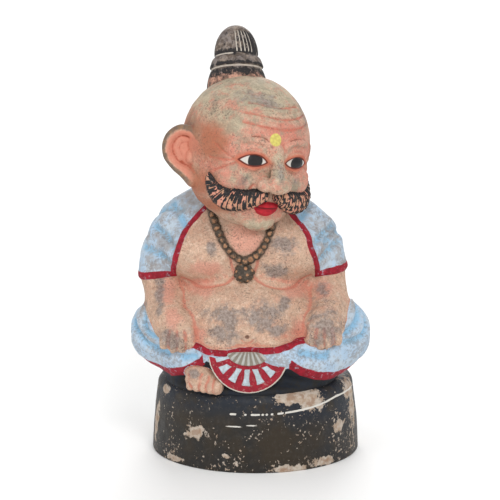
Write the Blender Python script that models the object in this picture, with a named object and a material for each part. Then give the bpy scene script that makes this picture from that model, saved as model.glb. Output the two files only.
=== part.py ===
"""A painted clay figurine of a seated pandit on a round plinth, moulded and fired as one piece.

The clay is built up as a modeller would: the large masses first, blended into one
another, then the features laid on their surface, and the whole skin fused into one body.
Metres, +Z up. The origin is the centre of the plinth's underside and he faces -Y.
"""

import math

import bmesh
import bpy
import numpy as np
from mathutils import Matrix, Vector
from mathutils.bvhtree import BVHTree

# The round plinth that he sits on.
PLINTH_HEIGHT = 0.053
PLINTH_FOOT_RADIUS = 0.0718
PLINTH_TOP_RADIUS = 0.0678
PLINTH_EDGE_ROUND = 0.008
PLINTH_BULGE = 0.0008
PLINTH_CENTRE_X = 0.0

# The figure's own size. Every place on him is given in shares of his height, from the
# plinth's top at its centre, so that one share is a millimetre at the real size.
FIGURE_HEIGHT = 0.238
SHARES_IN_HEIGHT = 238.0
SHARE = FIGURE_HEIGHT / SHARES_IN_HEIGHT

# How the head is carried: turned to his left, leaning to that side and nodding.
HEAD_TURN = math.radians(27.0)
HEAD_LEAN = math.radians(7.0)
HEAD_NOD = math.radians(3.0)
HEAD_CENTRE = (-6.4, -12.0, 157.0)

# How far each ear stands out from the side of the head.
EAR_SPREAD = math.radians(50.0)
FAR_EAR_SPREAD = math.radians(26.0)

# Necklace of round beads with one large knobbed bead hanging from it.
BEAD_RADIUS = 3.3
BEAD_PITCH = 5.6
PENDANT_RADIUS = 7.6
PENDANT_KNOB_RADIUS = 1.7
PENDANT_KNOBS = 6

# The pleated fan of cloth that falls over the plinth's edge.
FAN_RADIUS = 27.0
FAN_THICKNESS = 2.4
FAN_RIM = 2.0
FAN_PLEATS = 6

# How the clay is fused into one skin.
MASS_VOXEL = 0.0028
MASS_SMOOTHING = 10
SKIN_VOXEL = 0.0012
SKIN_SMOOTHING = 1
SKIN_TRIANGLES = 9700
CUT_DEPTH = 0.006


def clear_scene():
    for old in list(bpy.data.objects):
        bpy.data.objects.remove(old)


def seat(point):
    """A place given in shares from the seat, in metres."""
    return Vector(point) * SHARE + Vector((PLINTH_CENTRE_X, 0.0, PLINTH_HEIGHT))


def head_matrix():
    """Takes a place in the head's own shares, face to -Y, into the figure."""
    turn = Matrix.Rotation(HEAD_TURN, 4, "Z")
    lean = Matrix.Rotation(HEAD_LEAN, 4, "Y")
    nod = Matrix.Rotation(HEAD_NOD, 4, "X")
    return Matrix.Translation(seat(HEAD_CENTRE)) @ turn @ lean @ nod @ Matrix.Scale(SHARE, 4)


def body_matrix():
    """Takes a place in shares from the seat into the world."""
    return Matrix.Translation(seat((0, 0, 0))) @ Matrix.Scale(SHARE, 4)


def unit_ball():
    """The corners and faces of a ball of radius 1, which every ball of clay is a copy of."""
    shape = bmesh.new()
    bmesh.ops.create_uvsphere(shape, u_segments=20, v_segments=14, radius=1.0)
    corners = np.array([v.co for v in shape.verts])
    faces = [[v.index for v in face.verts] for face in shape.faces]
    shape.free()
    return corners, faces


BALL_CORNERS, BALL_FACES = unit_ball()


class Clay:
    """Overlapping closed shapes, gathered before they are fused."""

    def __init__(self):
        self.corners = []
        self.faces = []
        self.count = 0

    def add(self, corners, faces):
        self.corners.append(np.asarray(corners, float))
        self.faces += [[i + self.count for i in face] for face in faces]
        self.count += len(corners)

    def mesh(self):
        made = bpy.data.meshes.new("clay")
        made.from_pydata(np.concatenate(self.corners).tolist(), [], self.faces)
        return made


def moved(matrix, corners):
    turn = np.array(matrix.to_3x3())
    return corners @ turn.T + np.array(matrix.translation)


def add_ball(clay, place, centre, radii, turn=None):
    """An ellipsoid of clay with these half-widths, turned about its own centre."""
    turned = turn.to_4x4() if turn else Matrix.Identity(4)
    matrix = place @ Matrix.Translation(centre) @ turned @ Matrix.Diagonal((*radii, 1.0))
    clay.add(moved(matrix, BALL_CORNERS), BALL_FACES)


def add_limb(clay, place, path, flat=1.0, steps=5):
    """A round roll of clay along a smooth path of (x, y, z, radius), with round ends."""
    stations = smooth(path, steps)
    for x, y, z, radius in stations:
        add_ball(clay, place, (x, y, z), (radius, radius * flat, radius))


def smooth(path, steps):
    """Stations along a Catmull-Rom curve through the path's points, radii included."""
    points = [Vector(p) for p in path]
    points = [2 * points[0] - points[1], *points, 2 * points[-1] - points[-2]]
    stations = []
    for before, start, end, after in zip(points, points[1:], points[2:], points[3:]):
        for step in range(steps):
            t = step / steps
            stations.append(
                0.5
                * (
                    2 * start
                    + (end - before) * t
                    + (2 * before - 5 * start + 4 * end - after) * t**2
                    + (3 * start - before - 3 * end + after) * t**3
                )
            )
    stations.append(points[-2])
    return stations


def add_turned(clay, place, profile, segments=48):
    """A closed body turned about Z from (radius, height) points that start and end on the axis."""
    shape = bmesh.new()
    points = [shape.verts.new((radius, 0.0, height)) for radius, height in profile]
    edges = [shape.edges.new(pair) for pair in zip(points, points[1:])]
    bmesh.ops.spin(
        shape,
        geom=points + edges,
        cent=(0, 0, 0),
        axis=(0, 0, 1),
        angle=2 * math.pi,
        steps=segments,
        use_merge=True,
    )
    bmesh.ops.remove_doubles(shape, verts=shape.verts, dist=1e-6)
    bmesh.ops.recalc_face_normals(shape, faces=shape.faces)
    shape.verts.index_update()
    corners = np.array([v.co for v in shape.verts])
    faces = [[v.index for v in face.verts] for face in shape.faces]
    shape.free()
    clay.add(moved(place, corners), faces)


def mirrored(path):
    return [(-x, *rest) for x, *rest in path]


def add_plinth(clay):
    """The drum: a slightly swelling side, a rounded top edge and a flat foot, left long below."""
    round_steps = 6
    side_top = PLINTH_HEIGHT - PLINTH_EDGE_ROUND
    side = []
    for i in range(7):
        t = i / 6
        radius = PLINTH_FOOT_RADIUS + (PLINTH_TOP_RADIUS - PLINTH_FOOT_RADIUS) * t
        side.append((radius + PLINTH_BULGE * math.sin(math.pi * t), side_top * t))
    corner = []
    for i in range(1, round_steps + 1):
        angle = 0.5 * math.pi * i / round_steps
        inward = PLINTH_EDGE_ROUND * (1 - math.cos(angle))
        corner.append((side[-1][0] - inward, side_top + PLINTH_EDGE_ROUND * math.sin(angle)))
    foot = (PLINTH_FOOT_RADIUS, -CUT_DEPTH)
    profile = [(0.0, -CUT_DEPTH), foot, *side, *corner, (0.0, PLINTH_HEIGHT)]
    add_turned(clay, Matrix.Translation((PLINTH_CENTRE_X, 0.0, 0.0)), profile)


def add_trunk(clay, body):
    add_ball(clay, body, (-7, 6, 50), (55, 43, 52))
    add_ball(clay, body, (-8, 2, 88), (50, 41, 50))
    add_ball(clay, body, (-6.5, -13, 43), (49, 46, 33))
    for x in (-32, 17):
        add_ball(clay, body, (x, -15, 88), (32, 26.5, 20.5))
    add_ball(clay, body, (-7.5, -12, 93), (38, 29, 24))
    add_ball(clay, body, (-6, -6, 118), (26, 22, 24))


def add_arms(clay, body):
    """Upper arm and forearm, coming forward to the knee."""
    add_limb(clay, body, [(-60, 0, 70, 15), (-62, -9, 57, 14.5), (-60, -25, 50, 13.5), (-57, -38, 43, 12)])
    add_limb(clay, body, [(47, 0, 70, 14.5), (49.5, -10, 58, 14), (50, -25, 51, 13), (49, -38, 45, 12)])


def add_shawl(clay, body):
    """The cloth on his shoulders, which ends in a short sleeve on each arm."""
    add_limb(clay, body, [(-28, 4, 120, 14), (-46, 2, 100, 22), (-58.5, -1, 79, 20), (-62.5, -4, 68, 16.8)])
    add_limb(clay, body, [(13, 4, 116, 13), (33, 2, 95, 21.5), (42, -1, 77, 19.5), (46, -4, 68, 15.8)])
    add_ball(clay, body, (-8, 12, 98), (42, 36, 42))


def add_legs(clay, body):
    """Crossed legs under the cloth: hips, knees and the shins that meet in front."""
    add_ball(clay, body, (-5, 8, 20), (62, 44, 26))
    add_ball(clay, body, (-53.5, -12, 31), (32, 30, 26.5))
    add_ball(clay, body, (46.5, -18, 31), (32, 31, 26.5))
    add_limb(clay, body, [(-57, -20, 24, 18), (-47, -34, 21, 16), (-36, -46, 24, 12), (-22, -53, 27, 9)])
    add_limb(clay, body, [(51, -27, 22, 18), (39, -42, 19, 16), (25, -51, 22, 12), (10, -55, 26, 9)])
    add_ball(clay, body, (-5, -36, 14), (38, 24, 20))
    add_ball(clay, body, (-4, -14, 0), (56, 48, 9))


def add_head_mass(clay, head):
    add_ball(clay, head, (0, 0, 3), (43, 47, 44.5))
    add_ball(clay, head, (0, -6, -19), (40, 38, 29))
    add_ball(clay, head, (0, -14, -35), (28, 26, 15))
    for side in (-1, 1):
        add_ball(clay, head, (21 * side, -29, -15), (14, 11, 12))


def add_topknot(clay, head):
    """The knot of hair on the crown: two bound rings and a domed tuft, tipped back."""
    profile = [(0, -8), (20.8, -8), (20.6, -3), (20, 1), (19, 4.5), (17.9, 7.4), (16.7, 8.8), (18.2, 10.2)]
    profile += [(17.6, 12.5), (16.4, 15.6), (14.6, 17.6), (14.9, 19), (14.8, 22), (14, 26), (12.2, 31)]
    profile += [(9.2, 35.6), (5, 38.9), (0, 40)]
    tip = Matrix.Rotation(math.radians(-20), 4, "X")
    add_turned(clay, head @ Matrix.Translation((-3.2, 20, 42)) @ tip, profile, segments=40)


def add_ear(clay, head, side, spread):
    """A cupped ear: rim, back, inner fold, tragus and lobe, spread this far from the head."""
    outward = Vector((math.sin(spread) * side, math.cos(spread), 0.0))
    up = Vector((0, 0, 1))
    facing = outward.cross(up) * -side
    frame = Matrix((outward, facing, up)).transposed().to_4x4()
    ear = head @ Matrix.Translation((40 * side, -3, -3.5)) @ frame
    rim = [(-1, 0, 9.5, 3.4), (4.5, 0.5, 13.2, 3.5), (11.5, 1, 12.9, 3.7), (17, 1, 8.2, 3.8), (19, 1, 1.2, 3.8)]
    rim += [(17, 0.5, -5.8, 3.7), (11.5, 0, -11, 3.6), (4.5, -0.5, -14.8, 4.2), (-2, -2, -18.8, 4.8)]
    add_limb(clay, ear, rim)
    add_ball(clay, ear, (8, 3.2, -1), (12, 3.2, 14))
    add_ball(clay, ear, (3, 6, -3), (10, 7, 12))
    add_limb(clay, ear, [(5.5, 1.5, 7.5, 1.7), (10.5, 1, 6.5, 1.9), (12.5, 1, 0.5, 2), (9, 0.8, -6, 1.9)])
    add_ball(clay, ear, (2, -0.5, -3.5), (3, 3, 4.5))


def add_face(clay, head):
    """Nose, lids, lips and chin on plain doll's proportions: eyes at mid height."""
    add_limb(clay, head, [(0, -44, 8, 4), (0, -48, -2, 4.2), (0, -51.5, -10, 5.6)])
    add_ball(clay, head, (0, -52.5, -14.5), (7.6, 7, 6.6))
    add_limb(clay, head, [(-7, -39.5, -29.6, 1.8), (0, -41, -28.6, 2.6), (7, -39.5, -29.6, 1.8)])
    add_limb(clay, head, [(-6.5, -39.2, -31.2, 1.8), (0, -40, -33, 3), (6.5, -39.2, -31.2, 1.8)])
    add_ball(clay, head, (0, -31, -41), (14, 9, 9))
    for side in (-1, 1):
        add_ball(clay, head, (7 * side, -47, -16), (5, 6, 4.8))
        add_ball(clay, head, (15.5 * side, -37, -1), (8.4, 6.2, 5.6))
        lid = [(6.5, -43, -1, 1.4), (11, -44.6, 4, 1.7), (16, -43.6, 5.6, 1.9), (21, -40.6, 4, 1.7), (25.5, -36.5, -1, 1.3)]
        under = [(7.5, -43, -2.5, 1.2), (15.5, -43, -6.8, 1.4), (24, -37.5, -2.5, 1.2)]
        for path in (lid, under):
            add_limb(clay, head, path if side > 0 else mirrored(path))
        brow = [(6, -45, 10, 2.2), (14, -43.6, 13.5, 2.8), (24, -38, 11.5, 2.2)]
        add_limb(clay, head, brow if side > 0 else mirrored(brow))


def add_moustache(clay, head, side):
    """One half of the moustache: thick over the lip, swept out and curled up to a point."""
    path = [(2, -44.5, -21.5, 3.6), (9, -43, -24.5, 5.4), (18, -38, -28, 7.4), (26, -32, -28, 8)]
    path += [(32, -27, -23.5, 6.4), (35.5, -23, -17, 3.8), (36.5, -21.5, -11.5, 1.8)]
    add_limb(clay, head, path if side > 0 else mirrored(path))


def add_hand(clay, body, wrist):
    """The back of a hand on the knee, with four fingers side by side hanging over it."""
    x, y, z = wrist
    add_ball(clay, body, (x, y, z + 1), (13, 9, 12.5))
    finger_gap = 5.8
    for i in range(4):
        across = (i - 1.5) * finger_gap
        drop = 1.3 * abs(i - 1.4)
        knuckle = (x + 0.95 * across, y - 5.2 + 0.3 * drop, z - 1, 3.5)
        middle = (x + across, y - 9.3 + 0.4 * drop, z - 6, 3.3)
        tip = (x + 1.02 * across, y - 9.3 + 0.5 * drop, z - 11.5 + drop, 2.9)
        add_limb(clay, body, [knuckle, middle, tip], steps=4)


def add_foot(clay, body):
    """The foot that shows under the hem, sole down with five toes over the plinth's edge."""
    add_limb(clay, body, [(-37, -42, 15, 9.5), (-37, -48, 10.5, 9), (-36, -51, 8, 8.5)])
    add_ball(clay, body, (-34, -51, 6.5), (13, 10, 6.5))
    for i in range(5):
        t = i / 4
        toe_radius = 3.7 - 1.0 * t
        x = -25.5 - 17.5 * t
        y = -62.5 + 8.0 * t**1.4
        add_limb(clay, body, [(x, y + 7, 6, toe_radius), (x - 0.5, y, 2.8, toe_radius)], steps=3)


def surface_in_front(tree, body, x, z):
    """The skin's height towards -Y at a place in shares, seen straight from the front."""
    start = body @ Vector((x, -150.0, z))
    hit = tree.ray_cast(start, Vector((0.0, 1.0, 0.0)))[0]
    return (body.inverted() @ hit).y if hit else 0.0


def surface_around(tree, body, azimuth, z):
    """The skin's place at this azimuth in degrees from the front, seen square to the trunk's axis."""
    angle = math.radians(azimuth)
    outward = Vector((math.sin(angle), -math.cos(angle), 0.0))
    axis = Vector((-7.0, 0.0, z))
    hit = tree.ray_cast(body @ (axis + 200.0 * outward), -outward)[0]
    return body.inverted() @ hit if hit else axis


def lay_front(clay, body, tree, path, sink=0.3):
    """A roll laid on the front along (x, z, radius), sunk by this share of its radius."""
    for x, z, radius in smooth(path, 14):
        y = surface_in_front(tree, body, x, z)
        add_ball(clay, body, (x, y + sink * radius, z), (radius,) * 3)


def lay_around(clay, body, tree, path, sink=0.3):
    """A roll laid round the trunk along (azimuth, z, radius)."""
    for azimuth, z, radius in smooth(path, 14):
        centre = surface_around(tree, body, azimuth, z)
        inward = Vector((-7.0, 0.0, centre.z)) - centre
        centre += inward.normalized() * sink * radius
        add_ball(clay, body, centre, (radius,) * 3)


def add_drapery(clay, body, tree):
    """Hems and folds of the cloth: sleeve ends, the shawl's edges, the waist and the knees."""
    edges = [[(-53.5, 75, 2.6), (-51, 95, 2.6), (-42, 109, 2.6), (-33, 117, 2.6)]]
    edges += [[(38.5, 75, 2.6), (37, 88, 2.6), (32, 102, 2.6), (24, 113, 2.6)]]
    edges += [[(-39, 30.5, 2.6), (-28, 25.5, 2.6), (-6, 30, 2.6), (12, 27, 2.6), (29, 33, 2.6)]]
    edges += [[(-66, 12, 2.4), (-54, 8, 2.4), (-40, 12, 2.4), (-32, 22, 2.4)]]
    edges += [[(62, 9, 2.4), (45, 5, 2.4), (32, 9, 2.4), (23, 18, 2.4)]]
    for edge in edges:
        lay_front(clay, body, tree, edge)
    sleeve_ends = [[(-44, 75, 2.4), (-66, 68, 2.8), (-90, 64, 2.8), (-120, 66, 2.6), (-150, 74, 2)]]
    sleeve_ends += [[(44, 75, 2.4), (66, 70, 2.8), (90, 67, 2.8), (120, 69, 2.6), (150, 76, 2)]]
    folds = [[(-79, 73, 2.2), (-52, 78, 1)], [(-72, 92, 2.4), (-50, 87, 1)], [(-66, 110, 2.2), (-47, 101, 1)]]
    folds += [[(80, 75, 2.2), (52, 80, 1)], [(72, 92, 2.4), (50, 88, 1)], [(62, 108, 2.2), (44, 101, 1)]]
    folds += [[(-66, 52, 1.6), (-75, 32, 2.6), (-62, 14, 1.6)], [(-90, 50, 1.6), (-97, 28, 2.8), (-85, 10, 1.6)]]
    folds += [[(68, 52, 1.6), (77, 32, 2.6), (66, 12, 1.6)], [(92, 50, 1.6), (100, 28, 2.8), (88, 10, 1.6)]]
    folds += [[(150, 100, 1.4), (165, 70, 2.6), (172, 42, 1.4)], [(-150, 100, 1.4), (-163, 68, 2.6), (-172, 40, 1.4)]]
    for path in sleeve_ends + folds:
        lay_around(clay, body, tree, path)


def add_necklace(clay, body, tree):
    """Beads strung along a V on the chest, with the knobbed bead at its foot."""
    string = [(-34, 0, 118, 0), (-29, 0, 111, 0), (-24.5, 0, 102, 0), (-17, 0, 93, 0), (-9, 0, 89.5, 0)]
    string += [(-1, 0, 93, 0), (5, 0, 100, 0), (10.5, 0, 109, 0), (14, 0, 117, 0)]
    line = [Vector((p[0], p[2])) for p in smooth(string, 24)]
    travelled = BEAD_PITCH
    for start, end in zip(line, line[1:]):
        travelled += (end - start).length
        if travelled >= BEAD_PITCH:
            travelled = 0.0
            y = surface_in_front(tree, body, end.x, end.y)
            add_ball(clay, body, (end.x, y - 0.5 * BEAD_RADIUS, end.y), (BEAD_RADIUS,) * 3)
    x, z = -7.6, 77.5
    y = surface_in_front(tree, body, x, z) - 1.5
    add_ball(clay, body, (x, y, z), (PENDANT_RADIUS, 0.75 * PENDANT_RADIUS, PENDANT_RADIUS))
    for i in range(PENDANT_KNOBS):
        angle = 2 * math.pi * (i + 0.25) / PENDANT_KNOBS
        reach = 0.68 * PENDANT_RADIUS
        knob = (x + reach * math.cos(angle), y - 0.52 * PENDANT_RADIUS, z + reach * math.sin(angle))
        add_ball(clay, body, knob, (PENDANT_KNOB_RADIUS,) * 3)


def add_fan(clay, body):
    """The half-round fan of pleats: a plate, its raised rim and the pleats between."""
    middle = Vector((-3.6, -59.0, 26.5))
    slope = math.radians(-15.0)
    fan = body @ Matrix.Translation(middle) @ Matrix.Rotation(slope, 4, "X")
    rim = []
    plate_layers = 7
    for i in range(plate_layers + 1):
        angle = math.pi * (1.0 + i / plate_layers)
        rim.append((FAN_RADIUS * math.cos(angle), 0.0, FAN_RADIUS * math.sin(angle), FAN_RIM))
    add_limb(clay, fan, rim, steps=6)
    add_ball(clay, fan, (0, 1.5, -6), (FAN_RADIUS, FAN_THICKNESS + 1.5, FAN_RADIUS - 6))
    add_ball(clay, fan, (0, 3.0, -2), (FAN_RADIUS, FAN_THICKNESS + 4, 14))
    for i in range(FAN_PLEATS):
        angle = math.pi * (1.14 + 0.72 * i / (FAN_PLEATS - 1))
        inner, outer = 0.5 * FAN_RADIUS, 0.85 * FAN_RADIUS
        ends = [(r * math.cos(angle), -1.6, r * math.sin(angle), 1.7) for r in (inner, outer)]
        add_limb(clay, fan, ends, steps=5)


def fused(clay, voxel, smoothing):
    """The clay's shapes fused into one smoothed skin, as a mesh."""
    lump = bpy.data.objects.new("clay", clay.mesh())
    bpy.context.scene.collection.objects.link(lump)
    remesh = lump.modifiers.new("fuse", "REMESH")
    remesh.mode = "VOXEL"
    remesh.voxel_size = voxel
    remesh.adaptivity = 0.0
    soften = lump.modifiers.new("soften", "SMOOTH")
    soften.factor = 0.5
    soften.iterations = smoothing
    graph = bpy.context.evaluated_depsgraph_get()
    skin = bpy.data.meshes.new_from_object(lump.evaluated_get(graph))
    bpy.data.objects.remove(lump)
    return skin


def thinned(mesh, triangles):
    """The mesh with its flat stretches thinned out to about this many triangles."""
    lump = bpy.data.objects.new("thin", mesh)
    bpy.context.scene.collection.objects.link(lump)
    thin = lump.modifiers.new("thin", "DECIMATE")
    thin.ratio = triangles / (2 * len(mesh.polygons))
    thin.use_collapse_triangulate = True
    graph = bpy.context.evaluated_depsgraph_get()
    result = bpy.data.meshes.new_from_object(lump.evaluated_get(graph))
    bpy.data.objects.remove(lump)
    return result


def cut_flat(mesh):
    """Cuts the foot off at the ground and closes it with one flat face."""
    skin = bmesh.new()
    skin.from_mesh(mesh)
    geometry = skin.verts[:] + skin.edges[:] + skin.faces[:]
    cut = bmesh.ops.bisect_plane(
        skin, geom=geometry, plane_co=(0, 0, 0), plane_no=(0, 0, 1), clear_inner=True
    )
    rim = [e for e in cut["geom_cut"] if isinstance(e, bmesh.types.BMEdge)]
    bmesh.ops.contextual_create(skin, geom=rim)
    bmesh.ops.recalc_face_normals(skin, faces=skin.faces)
    skin.to_mesh(mesh)
    skin.free()


def painted_clay():
    material = bpy.data.materials.new("painted_clay")
    material.use_nodes = True
    surface = material.node_tree.nodes["Principled BSDF"]
    surface.inputs["Base Color"].default_value = (0.62, 0.42, 0.31, 1.0)
    surface.inputs["Roughness"].default_value = 0.7
    surface.inputs["Metallic"].default_value = 0.0
    return material


def model_masses(body, head):
    clay = Clay()
    add_trunk(clay, body)
    add_arms(clay, body)
    add_shawl(clay, body)
    add_legs(clay, body)
    add_head_mass(clay, head)
    return fused(clay, MASS_VOXEL, MASS_SMOOTHING)


def model_figurine():
    body, head = body_matrix(), head_matrix()
    masses = model_masses(body, head)
    corners = np.array([v.co for v in masses.vertices])
    faces = [list(face.vertices) for face in masses.polygons]
    tree = BVHTree.FromPolygons(corners.tolist(), faces)
    clay = Clay()
    clay.add(corners, faces)
    add_plinth(clay)
    add_topknot(clay, head)
    add_face(clay, head)
    for side, spread in ((-1, EAR_SPREAD), (1, FAR_EAR_SPREAD)):
        add_ear(clay, head, side, spread)
        add_moustache(clay, head, side)
    add_hand(clay, body, (-52, -44, 39))
    add_hand(clay, body, (45.5, -45, 41.5))
    add_foot(clay, body)
    add_drapery(clay, body, tree)
    add_necklace(clay, body, tree)
    add_fan(clay, body)
    skin = thinned(fused(clay, SKIN_VOXEL, SKIN_SMOOTHING), SKIN_TRIANGLES)
    cut_flat(skin)
    skin.materials.clear()
    skin.materials.append(painted_clay())
    skin.shade_smooth()
    skin.set_sharp_from_angle(angle=math.radians(60))
    figurine = bpy.data.objects.new("pandit_figurine", skin)
    bpy.context.scene.collection.objects.link(figurine)


clear_scene()
model_figurine()
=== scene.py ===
import math

import bpy
import numpy as np
from mathutils import Matrix, Vector
from mathutils.bvhtree import BVHTree


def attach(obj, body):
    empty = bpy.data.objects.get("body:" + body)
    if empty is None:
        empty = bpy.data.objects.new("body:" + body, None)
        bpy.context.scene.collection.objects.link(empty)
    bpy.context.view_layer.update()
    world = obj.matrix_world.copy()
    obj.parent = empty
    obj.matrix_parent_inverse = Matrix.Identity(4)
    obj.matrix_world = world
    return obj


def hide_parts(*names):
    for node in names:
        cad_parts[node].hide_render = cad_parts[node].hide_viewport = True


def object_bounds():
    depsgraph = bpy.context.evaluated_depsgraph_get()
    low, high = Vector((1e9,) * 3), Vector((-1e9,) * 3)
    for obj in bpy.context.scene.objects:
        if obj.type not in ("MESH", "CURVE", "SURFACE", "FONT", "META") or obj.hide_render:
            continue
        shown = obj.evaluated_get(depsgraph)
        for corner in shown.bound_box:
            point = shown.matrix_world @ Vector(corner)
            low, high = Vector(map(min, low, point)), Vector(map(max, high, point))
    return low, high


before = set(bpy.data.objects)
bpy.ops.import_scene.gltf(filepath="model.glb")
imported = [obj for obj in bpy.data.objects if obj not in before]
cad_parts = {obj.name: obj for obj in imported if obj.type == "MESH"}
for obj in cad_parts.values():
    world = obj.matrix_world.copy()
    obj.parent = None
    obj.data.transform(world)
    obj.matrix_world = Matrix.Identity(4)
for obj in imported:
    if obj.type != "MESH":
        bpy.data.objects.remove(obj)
solid_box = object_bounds()


# The plinth: a hollow drum of pressed red clay with a rolled shoulder, moulded in one with
# the figure, so everything above it is measured in mm from its top. It was brushed black
# over a cream ground, with a ring scratched round it, and the black has flaked where knocked.
plinth_height = 53.0
foot_radius = 71.5
foot_round = 1.0
shoulder_radius = 67.7
shoulder_round = 8.0
side_bulge = 0.7
mean_radius = 70.0
ring_half_width = 0.75
ring_cut = 0.5
paint_shine = 0.32


def seen(red, green, blue):
    """A paint's colour as the eye reads it, 0 to 255, as the linear colour that a shader mixes."""
    share = np.array([red, green, blue]) / 255
    linear = np.where(share <= 0.04045, share / 12.92, ((share + 0.055) / 1.055) ** 2.4)
    return (*linear.tolist(), 1.0)


plinth_black = seen(34, 32, 30)
plinth_brown = seen(48, 39, 27)
plinth_blue = seen(26, 32, 42)
plinth_dust = seen(84, 80, 74)
ground_cream = seen(190, 178, 165)
ground_dull = seen(168, 146, 126)
bare_clay = seen(142, 108, 84)
scratch_cream = seen(214, 210, 202)


def closed_skin(rings):
    """Corners and faces over rows of rings: each ring is closed round, and each end by its middle."""
    rows, columns = rings.shape[:2]
    corners = np.vstack([rings.reshape(-1, 3), rings[0].mean(axis=0), rings[-1].mean(axis=0)])
    row, column = np.meshgrid(np.arange(rows - 1), np.arange(columns), indexing="ij")
    here = row * columns + column
    beside = row * columns + (column + 1) % columns
    quads = np.stack([here, beside, beside + columns, here + columns], axis=-1).reshape(-1, 4)
    first = np.arange(columns)
    second = (first + 1) % columns
    last = (rows - 1) * columns
    low = np.column_stack([second, first, np.full(columns, rows * columns)])
    high = np.column_stack([last + first, last + second, np.full(columns, rows * columns + 1)])
    return corners, quads.tolist() + low.tolist() + high.tolist()


def uneven(points, size, seed):
    """Hand-made unevenness, about -1 to 1: ten sine waves about `size` mm long, in random directions."""
    waves = 10
    chance = np.random.default_rng(seed)
    way = chance.normal(size=(waves, 3))
    way /= np.linalg.norm(way, axis=1, keepdims=True)
    way *= 2 * np.pi / (size * chance.uniform(0.7, 1.5, (waves, 1)))
    return np.sin(points @ way.T + chance.uniform(0, 2 * np.pi, waves)).sum(axis=1) / math.sqrt(waves)


def patch(across, up, spots):
    """How deep a point lies in soft oval spots (across, up, half-width, half-height): 1 at a middle."""
    depth = np.zeros(len(across))
    for x, z, wide, high in spots:
        depth = np.maximum(depth, np.exp(-(((across - x) / wide) ** 2) - ((up - z) / high) ** 2))
    return depth


def piece(name, corners, faces, marks, material):
    """A closed piece from corners in mm above the plinth, with its marks, on the body's frame."""
    mesh = bpy.data.meshes.new(name)
    mesh.from_pydata(((corners + (0, 0, plinth_height)) / 1000).tolist(), [], faces)
    for key, values in marks.items():
        mesh.attributes.new(key, "FLOAT", "POINT").data.foreach_set("value", values.astype(np.float32))
    mesh.shade_smooth()
    mesh.materials.append(material)
    made = bpy.data.objects.new(name, mesh)
    bpy.context.scene.collection.objects.link(made)
    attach(made, "root")
    return made


class Finish:
    """A painted finish, built up in steps that read the piece's marks and Object coordinates."""

    def __init__(self, name):
        self.material = bpy.data.materials.new(name)
        self.material.use_nodes = True
        self.tree = self.material.node_tree
        self.shader = self.tree.nodes["Principled BSDF"]
        self.place = self.tree.nodes.new("ShaderNodeTexCoord").outputs["Object"]

    def node(self, kind, inputs, output=0, **settings):
        """One of the outputs of a new node, whose inputs are each linked or set."""
        made = self.tree.nodes.new(kind)
        for key, value in settings.items():
            setattr(made, key, value)
        for key, value in inputs.items():
            if isinstance(value, bpy.types.NodeSocket):
                self.tree.links.new(value, made.inputs[key])
            else:
                made.inputs[key].default_value = value
        return made.outputs[output]

    def mark(self, name):
        """One of the marks that the piece carries at its corners."""
        return self.node("ShaderNodeAttribute", {}, "Fac", attribute_name=name)

    def mottle(self, size, detail=5.0, rough=0.6, seed=0.0):
        """Cloudy noise, about 0.3 to 0.7, whose blots are `size` mm across."""
        laid = self.node("ShaderNodeMapping", {"Vector": self.place, "Location": (seed, -seed, seed / 3)})
        cloud = {"Vector": laid, "Scale": 1000 / size, "Detail": detail, "Roughness": rough}
        return self.node("ShaderNodeTexNoise", cloud)

    def plus(self, first, second, times=1.0):
        """first + second * times."""
        return self.node("ShaderNodeMath", {0: second, 1: times, 2: first}, operation="MULTIPLY_ADD")

    def both(self, first, second):
        """first * second."""
        return self.node("ShaderNodeMath", {0: first, 1: second}, operation="MULTIPLY")

    def most(self, first, second):
        """The larger of the two."""
        return self.node("ShaderNodeMath", {0: first, 1: second}, operation="MAXIMUM")

    def past(self, value, edge, blur, below=0.0, beyond=1.0):
        """0 below the edge and 1 beyond it, with a soft step this wide each way."""
        ends = {"From Min": edge - blur, "From Max": edge + blur, "To Min": below, "To Max": beyond}
        return self.node("ShaderNodeMapRange", {"Value": value, **ends}, interpolation_type="SMOOTHSTEP")

    def short_of(self, value, edge, blur):
        """1 below the edge and 0 beyond it, with the same soft step."""
        return self.past(value, edge, blur, 1.0, 0.0)

    def over(self, share, under, above):
        """One colour laid over another by this share."""
        return self.node("ShaderNodeMix", {0: share, 6: under, 7: above}, 2, data_type="RGBA")

    def wash(self, under, above, share, strength):
        """A thin coat: one colour laid over another by this much of a share."""
        return self.over(self.both(share, strength), under, above)

    def clouds(self, under, above, blots, edge, blur):
        """One colour in clouds over another; blots are a mottle's size, detail, roughness and seed."""
        return self.over(self.past(self.mottle(*blots), edge, blur), under, above)

    def done(self, colour, roughness, height):
        """The finished surface; height is in mm."""
        bump = self.node("ShaderNodeBump", {"Height": height, "Distance": 0.001, "Strength": 1.0})
        for key, socket in (("Base Color", colour), ("Roughness", roughness), ("Normal", bump)):
            self.tree.links.new(socket, self.shader.inputs[key])
        self.shader.inputs["Specular IOR Level"].default_value = paint_shine
        return self.material


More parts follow.
